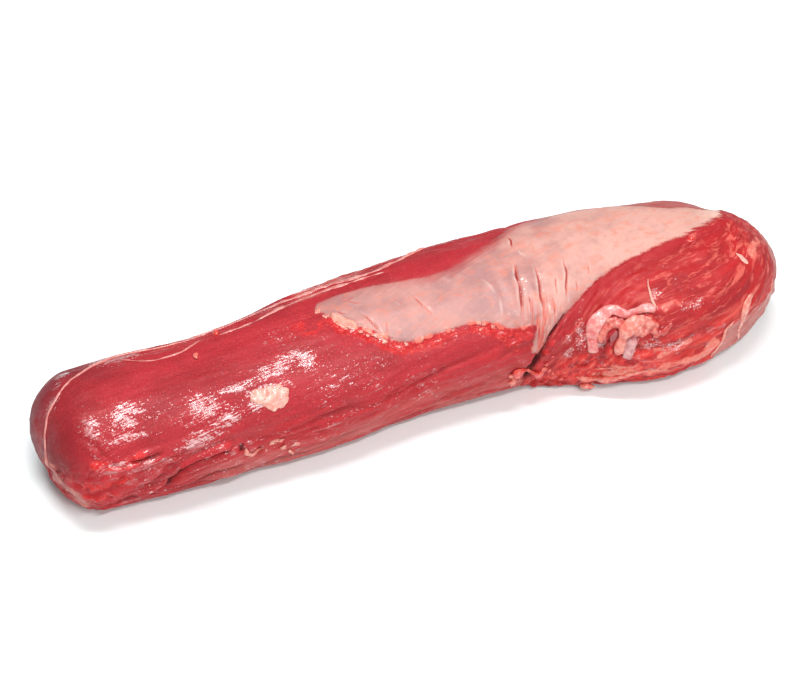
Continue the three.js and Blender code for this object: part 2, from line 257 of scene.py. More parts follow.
# The meat itself.
body = {
    "rings": 72, "voxel": 1.4, "degree": 0.68, "sideDegree": 0.62,
    # finer faces: from, to, and the angles between
    "fine": [(46, 108, 0, 114), (58, 100, -44, 0), (-184, -88, -30, 42), (-36, 18, 58, 100)],
    # the silverskin's edges: place along and angle on the long muscle
    "skinLow": [(-42, 104), (-39, 96), (-35, 89), (-32, 82), (-28, 78), (-23, 73), (-19, 68), (-15, 62),
        (-10, 57), (-7, 53), (-2, 50), (10, 49), (21, 48), (33, 49), (44, 46), (48, 42), (54, 38), (62, 36),
        (67, 35), (68, 32), (67, 27), (66, 22), (65, 16), (65, 12), (67, 8), (71, 6), (80, 0)],
    "skinHigh": [(-42, 104), (-40, 108), (-29, 109), (-13, 105), (6, 98), (22, 93), (35, 95), (48, 103),
        (62, 111), (79, 126), (100, 137), (130, 136), (144, 128), (152, 121), (161, 114), (168, 110),
        (185, 111), (197, 106)],
    # where the side muscle of the head begins
    "headEdge": [(201, -112), (199, -104), (62, -104), (59, -96), (60, -60), (61, -22), (63, -10), (65, -6),
        (68, 2), (70, 10), (72, 17), (74, 23), (79, 30), (85, 37), (92, 43), (100, 49), (109, 55),
        (121, 59), (131, 63), (144, 66), (158, 70), (170, 73), (185, 79), (193, 90), (197, 105), (199, 130),
        (201, 170), (201, 260)],
    # creases across the silverskin: path, depth, half width
    "creases": [([(70, 93), (69, 86), (68, 79), (65, 63), (63, 52), (60, 38)], 1.7, 0.75),
        ([(73, 116), (74, 108), (72, 98)], 0.8, 0.7),
        ([(79, 86), (78, 76), (76, 62), (74, 48), (72, 32)], 1.4, 0.7),
        ([(87, 68), (85, 59), (84, 50)], 0.6, 0.55), ([(82, 56), (80, 45), (79, 34)], 0.6, 0.55),
        ([(97, 86), (94, 70), (90, 55), (88, 40)], 1.3, 0.7), ([(107, 68), (105, 58)], 0.35, 0.5),
        ([(97, 60), (95, 48)], 0.5, 0.5), ([(69, 60), (68, 52), (66, 42)], 0.6, 0.55),
        ([(85, 50), (82, 36)], 0.3, 0.5), ([(75, 44), (72, 30)], 0.4, 0.5),
        ([(-33, 96), (-31, 91), (-28, 87)], 0.8, 0.6),
        ([(-22, 86), (-19, 78), (-17, 72), (-14, 61)], 1.1, 0.6),
        ([(-9, 72), (-11, 64), (-10, 58)], 0.4, 0.55), ([(7, 88), (10, 77), (13, 66)], 0.45, 0.6),
        ([(12, 74), (16, 59)], 0.35, 0.55), ([(-30, 99), (-25, 100), (-21, 94), (-15, 92)], 0.3, 0.75),
        ([(-25, 100), (-19, 100)], 0.25, 0.75), ([(-3, 88), (1, 82), (3, 76)], 0.2, 0.8)],
    # glints: thin raised lines on the silverskin, with a painted highlight along them
    "glints": [[(53, 63), (52, 55), (51, 45)], [(74, 101), (75, 92), (79, 86)],
        [(47, 80), (51, 70), (52, 62)], [(78, 50), (77, 44), (76, 40)], [(83, 40), (82, 34), (80, 29)],
        [(-20, 80), (-17, 75), (-16, 70)], [(-15, 69), (-13, 61)], [(26, 90), (32, 82)],
        [(14, 70), (16, 65)]],
    # seams between the bundles of fibre on the front
    "seams": [([(-176, 2), (-163, 11), (-151, 15), (-140, 19), (-129, 22), (-120, 27)], 1.2, 1.4),
        ([(-155, -30), (-153, -23), (-149, -17), (-142, -12), (-136, -5), (-130, 4), (-122, 7), (-113, 9),
        (-104, 4)], 2.8, 1.7), ([(-134, -24), (-123, -19), (-115, -18), (-106, -16), (-95, -12)], 2.4, 1.5),
        ([(-188, 60), (-180, 52), (-177, 45), (-174, 38), (-169, 31)], 1.0, 1.4),
        ([(-171, 29), (-164, 25), (-158, 26), (-149, 25), (-140, 27)], 2.0, 1.3),
        ([(-178, -14), (-164, -8), (-150, -1), (-140, 4)], 1.2, 1.4),
        ([(-172, -28), (-161, -22), (-150, -22)], 1.4, 1.3), ([(-101, 12), (-101.5, 2)], 2.6, 1.8),
        ([(-91, 3), (-93, -3), (-95, -10)], 1.6, 1.3),
        ([(-150, -30), (-120, -28), (-90, -26), (-60, -33)], 1.2, 2.0),
        ([(-98, 2), (-70, 2), (-40, -4)], 0.8, 1.8), ([(-60, 16), (-20, 18), (20, 14)], 0.6, 1.6)],
    "torn": [([(-178, 30), (-172, 27), (-163, 24), (-154, 30)], 3.6),
        ([(-186, 6), (-176, 4), (-163, 8)], 4), ([(-186, -12), (-172, -8)], 4)],
    "hollows": [((107, 31), 3.0, 2.6), ((120, 20), 2.6, 2.2), ((103, 27), 2.2, 1.8), ((114, 46), 2.6, 2.0),
        ((168, 99), 1.4, 1.3)],
    # where the surface is wettest, which also places the painted highlights: place along and angle, then how far
    # each way in millimetres
    "wet": [(-175, 62, 5, 8), (-156, 65, 9, 8), (-158, 47, 10, 2.5), (-117, 54, 8, 8), (-97, 62, 12, 3),
        (-107, 39, 10, 4.5), (-120, 32, 12, 4.5), (-131, 27, 8, 3), (-75, 67, 12, 5), (-57, 66, 5, 6),
        (-84, 53, 9, 3), (-89, 43, 7, 3), (-66, 73, 8, 3), (-168, 24, 9, 5), (-150, 18, 12, 4),
        (-125, 22, 14, 3), (-179, 136, 4, 3), (-184, 124, 3, 3), (-189, 108, 4, 5), (-150, 138, 14, 7),
        (-98, 146, 10, 5), (-40, 142, 16, 6), (35, 146, 20, 6), (95, 152, 12, 5), (150, 150, 14, 6)],
    # and where only small drops shine, with painted glints
    "damp": [(-72, 60, 24, 9), (-108, 46, 28, 11), (-155, 56, 18, 11), (-36, 38, 28, 10), (-66, 92, 14, 8)],
    "wetSide": [(101, 34, 4, 6), (149, 46, 3.5, 3), (155, 44, 5, 3), (93, 59, 3, 6), (93, 43, 3.5, 8),
        (135, 66, 3.5, 3.5), (116, 28, 5, 6), (86, 33, 3, 5), (85, 52, 2.5, 3), (127, 20, 5, 4),
        (140, 12, 7, 4)],
    "cleft": [(61, -24), (63, -10), (65, -6), (68, 2), (70, 10), (72, 17), (74, 23), (79, 30), (85, 37),
        (89, 41)],
    # pale fat lying in the surface of the head: path, half width, strength
    "pale": [([(97, -37, 15), (105, -40, 17), (112, -43, 21), (123, -47, 19)], 1.9, 1.0), ([(123, -47, 19),
        (131, -48, 17), (139, -50, 21), (151, -50, 21), (160, -48, 23), (166, -48, 28), (170, -47, 33)],
        4.4, 1.0), ([(101, -39, 25), (109, -43, 25), (116, -45, 23), (122, -47, 28), (129, -49, 31)], 1.6,
        0.7), ([(129, -49, 31), (136, -50, 34), (143, -51, 36), (152, -50, 38)], 2.2, 0.7),
        ([(208, -8, 56), (203, -13, 59), (198, -19, 61), (195, -24, 59)], 2.8, 0.75),
        ([(209, -27, 49), (208, -30, 41), (206, -33, 33)], 1.7, 0.8),
        ([(186, -41, 46), (187, -41, 41), (184, -43, 34)], 3.2, 0.85),
        ([(135, -40, 56), (139, -39, 58), (144, -39, 58), (146, -42, 56)], 2.4, 0.7),
        ([(123, -47, 34), (130, -49, 36), (136, -50, 38)], 1.2, 0.8),
        ([(93, -34, 10), (103, -39, 12), (110, -42, 15), (116, -44, 19)], 1.2, 0.8),
        ([(80, -31, 41), (84, -31, 43), (90, -29, 47), (95, -27, 51)], 1.0, 0.5),
        ([(160, -37, 52), (170, -36, 54), (178, -34, 55)], 1.8, 0.6)],
    # the membrane over the head's end: height and where it begins, then the same for all that is higher
    "film": [(10, 165), (26, 170), (35, 176), (37, 184)],
    "filmTop": (36, 213),
    "tailFilm": [(-199, -4, 40), (-198, -9, 34), (-198, -12, 29), (-196, -17, 27), (-193, -22, 25),
        (-190, -26, 22), (-187, -29, 15), (-185, -31, 8)],
    "knot": ((115, -40, 44), 13),
    "redHole": ((168, -4, 66), 2.6),
    "headDent": ((199, -39, 15), 14, 4.5),
    # how the fibres rise and turn back: places along, slopes up, slopes back
    "fibreReach": (-215, 236),
    "fibreLong": ((-215, -185, -165, 60, 120), (0.68, 0.62, 0.2, 0.16, 0.02), (0, 0, 0.05, 0.05, 0)),
    "fibreSide": ((60, 95, 130, 165, 195, 225), (0.9, 0.6, 0.12, 0.15, 0.6, 1.0),
        (0.9, 0.6, 0.1, 0.1, 0.8, 1.3)),
}


def sheared(points, places, slopesZ, slopesY):    # lines up the fibres: they rise and turn back along the meat
    fine = np.arange(*body["fibreReach"], 1.0)
    x = points[:, 0]

    def risen(slopes):
        rise = np.concatenate([[0], np.cumsum(np.interp(fine, places, slopes)[:-1])])
        return np.interp(x, fine, rise)

    return np.stack([x, points[:, 1] - risen(slopesY), points[:, 2] - risen(slopesZ)], 1)


def shapeOfMeat(points, out):    # how far each place stands off the plain muscles, and what shows there
    x, y, z = points.T
    degree, sideDegree = body["degree"], body["sideDegree"]
    angles = anglesOn("long", points)
    s = np.where(angles < -110, angles + 360, angles) * degree    # counted on over the back
    sSide = anglesOn("side", points) * sideDegree
    gaps = dict(zip(muscles, skinsOf(points)[0]))

    def hills(size, seed):
        return noiseAt(points, size, seed)

    def grain(size, seed):    # hills drawn out along the fibres
        return noiseAt(fibre, size, seed)

    def valleys(size, seed):    # thin wandering lines along them
        return bump(grain(size, seed), 0.13)

    def near(path, moveX=0, moveS=0):    # to a path drawn by place along and angle
        return toPath(np.stack([x + moveX, s + moveS], 1), [(px, angle * degree) for px, angle in path])

    def around(spot, width):
        return bump(np.linalg.norm(points - np.array(spot), axis=1), width)

    def spots(rows, roundPlace, perDegree, power=2):
        for px, angle, alongSize, roundSize in rows:
            yield np.exp(-((x - px) / alongSize) ** power
                         - ((roundPlace - angle * perDegree) / roundSize) ** power)

    def outermost(name):    # 1 where this muscle lies over the others
        others = np.min([gaps[other] for other in muscles if other != name], axis=0)
        return ramp(others - gaps[name] + 3 * hills(10, 62), -4, 4)

    cap, rear = outermost("flank"), outermost("rear")
    edge, _, edgeSide = near(body["headEdge"])
    edge = edge * edgeSide    # millimetres from the head's side muscle
    lobe = ramp(-edge, -1.0, 1.0)
    plain = 1 - lobe

    # fibres: nearly along the meat, steeper on the tail end and fanning out over the head
    fibre = (sheared(points, *body["fibreLong"]) * plain[:, None]
             + sheared(points, *body["fibreSide"]) * lobe[:, None])

    # the silverskin: millimetres inside its edge
    low, _, lowSide = near(body["skinLow"])
    high, _, highSide = near(body["skinHigh"])
    low, high = low * lowSide, -high * highSide
    strandWay = np.stack([x + z, x - z, y], 1)    # its first axis runs up the cleft
    frayed = bump(x - 66, 7) * ramp(27 - s, 0, 5) * ramp(s, 0, 6)
    low = low + 2.6 * frayed * noiseAt(strandWay, (11, 2.6, 8), 66)
    skin = np.minimum(np.minimum(low, high), edge)
    soft = ramp(np.minimum(low, edge) - high, -4, 6) * (0.25 + 0.75 * bump(x - 62, 42))
    silver = ramp(skin, -1.0, 1.0)
    bare = 1 - silver

    # lean meat: soft swells, bundles and fibres, coarser on the front and the back
    lift = 0.9 * hills(30, 1) + 0.35 * grain((45, 6, 6), 2) + 0.25 * grain((24, 2.6, 2.6), 3)
    lift -= 0.2 * valleys((60, 11, 11), 31) * plain
    front = ramp(30 - s, 0, 24) * ramp(s, -60, -38) * plain
    lift += front * (1.3 * grain((42, 6.5, 6.5), 4) + 0.8 * grain((18, 2.6, 2.6), 5) + 0.25 * hills(4, 51))
    frontSeams = front * (1.8 * valleys((62, 11, 11), 32) + 1.1 * valleys((30, 5, 5), 33))
    lift -= frontSeams
    lift *= 1 - 0.7 * silver
    back = ramp(y, 30, 45) * bare
    backSeams = back * (valleys((60, 12, 12), 34) + 0.5 * valleys((34, 6, 6), 76))
    lift += back * (0.8 * grain((50, 6, 6), 6) + 0.45 * grain((18, 2.6, 2.6), 77)) - 1.2 * backSeams

    # the trimmed chain on the far edge
    chain = ramp(x, -152, -110) * ramp(34 - x, 0, 45) * ramp(s, 110 * degree, 122 * degree)
    chain = chain * ramp(186 * degree - s, 0, 40) * bare
    chain = np.clip(chain * (0.85 + 1.3 * hills((34, 15, 15), 61)), 0, 1)
    lift += chain * (0.8 * grain((24, 4.5, 4.5), 57) + 0.4 * hills(3.2, 58))

    # the red hollow under the silverskin's edge, and the rim of fat along it
    edgeOnly = ramp(x, -44, -34) * ramp(68 - x, 0, 5) * ramp(s, 17, 23) * plain
    band = bump(low + 2.6, 3.9) * edgeOnly * (1 - ramp(x, 12, 24) * (1 - bump(x - 47, 13)) * 0.6)
    band = np.clip(band * (1.25 + 0.6 * hills(3.4, 35)), 0, 1)
    lift += -0.8 * band + 0.8 * band * hills(3.0, 7) + 0.4 * band * hills(1.6, 8)
    rimWidth = 1.3 - 0.6 * ramp(x, -6, 4) + 0.9 * bump(x + 31, 6)
    rimShare = 0.55 + 2.1 * hills(3.4, 37) + 0.9 * bump(x + 33, 8) - 0.2 * ramp(x, -22, -4)
    rim = np.clip(bump(low + 0.1 - 1.3 * hills(5, 36), rimWidth) * edgeOnly * rimShare, 0, 1)
    fray = bump(x - 54, 13) * bump(low + 5.5, 7) * ramp(x, 30, 40) * ramp(68 - x, 0, 4) * ramp(s, 6, 13) * plain
    scuff = bump(x + 50, 11) * bump(s - 90 * degree, 8) * bare * ramp(hills((6, 2.6, 2.6), 78), -0.5, 0.2)
    band = np.maximum(band, np.clip(fray * (0.5 + 1.7 * hills((2.2, 9, 9), 52)), 0, 1))
    band = np.maximum(band, 0.95 * scuff)
    lift += fray * 0.6 * hills((2.4, 9, 9), 53)
    lift += rim * (0.9 + 0.7 * hills(3.2, 38))
    lift += 0.4 * silver * ramp(low, -0.5, 1.5) * (1 - soft)

    # creases, pale glints and fine puckers in the silverskin
    deep, fold, lips = np.zeros(len(x)), np.zeros(len(x)), np.zeros(len(x))
    stray = 0.8 * hills(7, 39)
    for path, depth, width in body["creases"]:
        away, share, side = near(path, stray)
        fade = endsFade(share, 0.35) * silver * np.clip(0.9 + 0.5 * hills((30, 5, 5), 67), 0, 1)
        width = width * (0.55 + 0.45 * fade)
        strength = min(1, depth)
        lipGlint = bump(-away * side - 1.9 * width, 0.8 * width) * fade
        lift -= depth * bump(away, width) * fade
        lift += 0.16 * depth * lipGlint + 0.22 * depth * bump(away - 4.5, 3) * fade
        lips = np.maximum(lips, 0.62 * lipGlint * strength * (0.8 + hills((9, 4, 4), 68)))
        fold = np.maximum(fold, (0.4 + 0.6 * strength) * bump(away, 0.9 * width) * fade)
    for path in body["glints"]:
        away, share, _ = near(path, stray)
        glint = bump(away, 0.6) * endsFade(share, 0.5) * silver
        lips = np.maximum(lips, 0.5 * glint)
        lift += 0.15 * glint
    paintedLipGlints = lips * silver
    blush = bump(x - 80, 6) * bump(s - 41 * degree, 9) * silver * ramp(hills((1.8, 9, 9), 64), -0.3, 0.5)
    fold = np.maximum(fold, 0.42 * blush)
    thread = bump(x - 69 - 0.25 * (s - 20), 9) * ramp(42 - s, 0, 18)
    lift -= 0.5 * thread * silver * ramp(noiseAt(strandWay, (30, 1.5, 8), 69), 0.0, 0.6)
    pucker = silver * bump(x - 74, 24) * ramp(95 * degree - s, 0, 20)
    lift += pucker * (0.4 * hills((4.2, 26, 26), 9) + 0.15 * hills((2.4, 14, 14), 10))
    lift += silver * 0.18 * hills((16, 7, 7), 11)

    # seams between the bundles on the front, with the bundles swelling beside them and painted shade in the seams
    # on the front and the back
    deep += 0.35 * np.clip(frontSeams - 0.3, 0, 1) * bare + 0.3 * backSeams
    driftX, driftS = 3 * hills(14, 40), 1.2 * hills(9, 41) + 0.8 * hills(4, 42)
    for path, depth, width in body["seams"]:
        away, share, _ = near(path, driftX * ramp(len(path), 2, 3), driftS)
        fade = endsFade(share) * plain * bare * (0.75 + 0.6 * hills(11, 43))
        lift += depth * (0.3 * bump(away - 2.6 * width, 1.8 * width) - bump(away, width)) * fade
        deep += 0.4 * depth * bump(away, width * 0.7) * fade
        lips = np.maximum(lips, 0.55 * bump(away - 2.8 * width, 1.1 * width) * fade)

    # the torn wet patch low on the tail end
    torn = np.max([bump(near(path, driftX * 0.6, driftS * 0.6)[0], width) for path, width in body["torn"]], axis=0)
    torn = torn * plain * bare
    tornHills = 1.6 * hills(5, 13) + 1.3 * hills(2.8, 14)
    lift += torn * (tornHills + 0.2)
    # painted shade in the torn patch's hollows
    deep += 0.35 * torn * ramp(-tornHills, 0.2, 1.1)

    # the head: coarser lumps, rough along its foot, with small hollows and the dent for the knot of fat
    calm = lobe * (1 - 0.65 * ramp(x, 184, 204))
    lift += calm * (0.7 * hills(11, 15) + 0.5 * grain((16, 3.4, 3.4), 16) + 0.25 * hills(2.8, 17)
                    - 0.6 * valleys((34, 7, 7), 44))
    lift -= body["headDent"][2] * around(*body["headDent"][:2])
    foot = lobe * ramp(20 - sSide, 0, 14) * ramp(sSide, -32, -22)
    lift += foot * (1.3 * grain((26, 5, 5), 18) + 0.7 * hills(3.2, 19) - 1.3 * valleys((40, 7, 7), 45))
    shaggy = bump(edge + 3, 3.5) * ramp(x, 60, 66) * ramp(94 - x, 0, 12) * ramp(s, -44, -26) * ramp(24 - s, 0, 10)
    lift += shaggy * (0.9 * hills(3.6, 70) + 0.6 * hills(1.9, 71))
    torn = np.maximum(torn, 0.8 * shaggy * ramp(hills(4, 72), -0.2, 0.5))
    torn = np.maximum(torn, 0.95 * scuff)
    # painted shade in the head's small hollows
    for (px, angle), width, depth in body["hollows"]:
        away = np.hypot(x - px, sSide - angle * sideDegree)
        lift -= depth * bump(away, width) * lobe
        deep += 0.8 * bump(away, width * 0.8) * lobe
    knot = around(*body["knot"]) * lobe
    lift -= knot * (0.8 - 1.3 * hills(5, 46) - 0.7 * hills(2.6, 47))

    # pale fat in the head, and the films over both ends
    pale = np.zeros(len(x))
    wandering = points + 1.6 * hills(6, 48)[:, None]
    for path, width, strength in body["pale"]:
        away, share, _ = toPath(wandering, path)
        mark = bump(away, width) * strength * endsFade(share, 0.1) * lobe
        pale = np.maximum(pale, np.clip(mark * (1.15 + 0.7 * hills(5, 49)), 0, 1))
    lift += 0.5 * pale
    filmTop, filmEnd = body["filmTop"]
    filmX = np.where(z > filmTop, filmEnd, np.interp(z, *zip(*body["film"])))
    film = ramp(x - filmX + 2.5 * hills(8, 50), -1.5, 1.5) * lobe * ramp(8 - y, 0, 14)
    away, share, _ = toPath(wandering, body["tailFilm"])
    tailFilm = bump(away + 1.5 * hills(5, 54), 4.4) * ramp(share, 0, 0.25) * ramp(1 - share, 0, 0.08)
    pale = np.maximum(pale, np.clip(tailFilm * (0.95 + 1.4 * hills(3.4, 65)), 0, 1))
    film = np.maximum(film, tailFilm)
    film = np.maximum(film, 0.6 * ramp(x, 112, 136) * ramp(-high, -0.5, 2) * ramp(z, 48, 57) * plain)
    torn = np.maximum(torn * (1 - 0.8 * tailFilm), around(*body["redHole"]))

    # the cleft where the side muscle starts, with painted shade down in it and along the head's edge
    away, share, _ = near(body["cleft"])
    opened = ramp(0.6 - share, 0, 0.4)
    cleft = bump(away, 0.75 + 1.9 * ramp(0.7 - share, 0, 0.5)) * ramp(share, 0, 0.1) * ramp(1 - share, 0, 0.2)
    cleft = cleft * np.clip(0.85 + 0.6 * hills(3, 74), 0, 1)
    crease = bump(edge, 1.5) * ramp(x, 60, 80) * ramp(118 - x, 0, 40) * ramp(s, -60, -45)
    lift -= (2.6 + 2.9 * opened) * cleft + 0.8 * crease
    deep += (0.8 + 0.7 * opened) * cleft + 0.35 * crease
    lift *= 1 - 0.75 * ramp(-out[:, 2], 0.35, 0.8)    # the underside is pressed flat

    # where it is wet: this gives the gloss, and also places the painted highlights and glints
    ridges = ramp(grain((26, 2.6, 2.6), 63), 0.3, 0.8)
    wet = 0.06 + (0.04 + 0.22 * ridges) * front + 0.25 * pucker - 0.1 * silver + 0.6 * lips + 0.1 * foot * ridges
    for spot in spots(body["wet"], s, degree):
        wet = np.maximum(wet, spot * plain)
    for spot in spots(body["damp"], s, degree, 4):
        wet = np.maximum(wet, (0.26 + 0.32 * hills(3, 75)) * spot * plain)
    for spot in spots(body["wetSide"], sSide, sideDegree):
        wet = np.maximum(wet, spot * lobe)

    masks = {
        "fibre": fibre, "chart": np.stack([x, s, sSide], 1), "wet": wet, "skin": skin, "soft": soft, "lobe": lobe,
        "band": band, "torn": torn, "foot": foot, "deep": np.clip(deep, 0, 1.5), "fold": fold, "front": front,
        "chain": chain, "rim": rim, "thread": thread, "pale": pale, "film": film, "knot": knot,
        "lipGlint": np.clip(paintedLipGlints, 0, 1), "joint": np.clip(5 * lobe * (1 - lobe), 0, 1),
        "cap": cap * ramp(-150 - x, 0, 25), "rear": rear * ramp(z, 44, 58),
        # a painted reflection of the pale table, low on the front
        "paintedLowReflection": ramp(6 - s, 0, 16) * ramp(s, -74, -56) * ramp(x, -150, -90) * plain,
        # painted shade on the tail end's front face
        "paintedEndShade": ramp(-168 - x + 0.3 * y, 0, 26) * ramp(70 - s, 0, 30) * ramp(s, 4, 22) * plain}
    return lift, masks


def refine(meat):    # finer faces where the surface has the most detail
    centres = np.empty(len(meat.data.polygons) * 3)
    meat.data.polygons.foreach_get("center", centres)
    points = toMuscle(centres.reshape(-1, 3))
    x, angle = points[:, 0], anglesOn("long", points)
    chosen = np.zeros(len(x), bool)
    for first, last, low, high in body["fine"]:
        chosen |= (x > first) & (x < last) & (angle > low) & (angle < high)
    pick(meat)
    bpy.ops.object.mode_set(mode="EDIT")
    bpy.ops.mesh.select_mode(type="FACE")
    bpy.ops.mesh.select_all(action="DESELECT")
    bpy.ops.object.mode_set(mode="OBJECT")
    meat.data.polygons.foreach_set("select", chosen)
    bpy.ops.object.mode_set(mode="EDIT")
    bpy.ops.mesh.subdivide(number_cuts=1)
    bpy.ops.object.mode_set(mode="OBJECT")


def makeMuscle(name):
    clearSelection()
    bpy.ops.mesh.primitive_uv_sphere_add(segments=body["rings"], ring_count=body["rings"], radius=1,
                                         rotation=(0, math.pi / 2, 0))
    bpy.ops.object.transform_apply(location=True, rotation=True, scale=True)
    shell = bpy.context.object
    ball = readPoints(shell)
    start, end = muscles[name]["sections"][0][0], muscles[name]["sections"][-1][0]
    x = start + (end - start) * (1 + ball[:, 0]) / 2
    writePoints(shell, pointsOn(name, x, np.degrees(np.arctan2(ball[:, 2], -ball[:, 1]))))
    return shell


def makeMeat():
    meat = joinAll([makeMuscle(name) for name in muscles])
    meat.name = meat.data.name = "meat"
    applyModifier(meat, "REMESH", mode="VOXEL", voxel_size=body["voxel"] * mm, adaptivity=0)
    refine(meat)
    points, out = surfaceAt(toMuscle(readPoints(meat)), rounds=4)
    lift, masks = shapeOfMeat(points, out)
    writePoints(meat, points + out * lift[:, None])
    for name, values in masks.items():
        keepValues(meat, name, values)
    pick(meat)
    bpy.ops.object.shade_smooth()
    print("meat made:", len(meat.data.loops) - 2 * len(meat.data.polygons), "triangles")
    return meat


# Node helpers. They add to the material in hand.
tree = None


def newMaterial(name):
    global tree
    material = bpy.data.materials.new(name)
    material.use_nodes = True
    tree = material.node_tree
    return material, tree.nodes["Principled BSDF"]


def give(node, inputs):    # an output is linked to its socket, and a number or colour is set on it
    for key, value in inputs.items():
        if isinstance(value, bpy.types.NodeSocket):
            tree.links.new(value, node.inputs[key])
        else:
            node.inputs[key].default_value = value


def addNode(kind, inputs=None, **settings):
    node = tree.nodes.new("ShaderNode" + kind)
    for key, value in settings.items():
        setattr(node, key, value)
    give(node, inputs or {})
    return node


def attributeOf(name, output="Fac"):
    return addNode("Attribute", attribute_name=name).outputs[output]


def mathOf(operation, a, b=0.0, clamp=False):
    return addNode("Math", {0: a, 1: b}, operation=operation, use_clamp=clamp).outputs[0]


def times(a, b):
    return mathOf("MULTIPLY", a, b)


def plus(a, b):
    return mathOf("ADD", a, b)


def minus(a, b):
    return mathOf("SUBTRACT", a, b)


def most(a, b):
    return mathOf("MAXIMUM", a, b)


def least(a, b):
    return mathOf("MINIMUM", a, b)


def centred(noise, spread):
    return times(minus(noise, 0.5), spread)


def scaled(vector, factors):
    return addNode("VectorMath", {0: vector, 1: factors}, operation="MULTIPLY").outputs[0]


def inMillimetres():
    return scaled(addNode("TexCoord").outputs["Object"], (1 / mm,) * 3)


def noiseOf(vector, size, detail=3.0, roughness=0.55, distortion=0.0):
    return addNode("TexNoise", {"Vector": vector, "Scale": size, "Detail": detail, "Roughness": roughness,
                                "Distortion": distortion}).outputs["Fac"]


def between(value, low, high, outLow=0.0, outHigh=1.0):
    return addNode("MapRange", {"Value": value, "From Min": low, "From Max": high, "To Min": outLow,
                                "To Max": outHigh}, interpolation_type="SMOOTHSTEP").outputs[0]


def mixValue(factor, a, b):
    return addNode("Mix", {0: factor, 2: a, 3: b}, data_type="FLOAT").outputs[0]


def colourOf(red, green, blue):    # a colour as seen under the bright lamps, 0 to 255
    return tuple(0.77 * ((c / 255 + 0.055) / 1.055) ** 2.4 for c in (red, green, blue))


def shade(colour):    # a colour of the meat by its name, one by its numbers, or a node's output
    if isinstance(colour, str):
        colour = colourOf(*meatLook[colour])
    return colour if isinstance(colour, bpy.types.NodeSocket) else (*colour, 1)


def mixOf(factor, a, b):
    return addNode("Mix", {0: factor, 6: shade(a), 7: shade(b)}, data_type="RGBA", clamp_factor=True).outputs[2]


def layers(base, *rows):    # lays colours over each other: what shows each, from, to, how strongly and where
    for colour, value, low, high, strength, *where in rows:
        share = between(value, low, high, 0, strength)
        base = mixOf(times(share, where[0]) if where else share, base, colour)
    return base


# Some colours here are painted light: shade for the crevices, creases and the tail end's face, and near-white
# highlights and glints.
meatLook = {
    "lean": (178, 20, 35), "leanDark": (148, 10, 25), "leanLight": (199, 44, 52), "bright": (190, 14, 22),
    "tornRed": (210, 18, 24), "deep": (62, 0, 4), "lobe": (187, 16, 21), "lobeDark": (158, 8, 16),
    "marble": (236, 114, 98), "footRed": (226, 48, 40), "frontRed": (199, 28, 37), "rearRed": (232, 88, 84),
    "violet": (126, 10, 30), "skin": (198, 140, 132), "skinLilac": (174, 124, 121), "skinWarm": (217, 164, 151),
    "skinCream": (240, 197, 181), "skinFleck": (214, 82, 62), "skinOrange": (226, 128, 104),
    "threadRed": (168, 22, 24), "lipGlint": (252, 226, 216), "foldRed": (146, 10, 14), "paintedCreaseShade": (110, 6, 8),
    "rimPink": (232, 104, 88), "edgeRed": (172, 12, 26), "paintedEndShadeRed": (138, 6, 22), "paintedGlint": (250, 218, 212),
    "film": (190, 116, 108), "fat": (238, 158, 140), "haze": (150, 52, 62), "paintedWetHighlight": (246, 205, 205),
}
meatFinish = {"Coat Roughness": 0.16, "Coat IOR": 1.65, "Specular IOR Level": 0.42, "Subsurface Weight": 0.1,
              "Subsurface Radius": (0.004, 0.0012, 0.0008), "Subsurface Scale": 1.0}


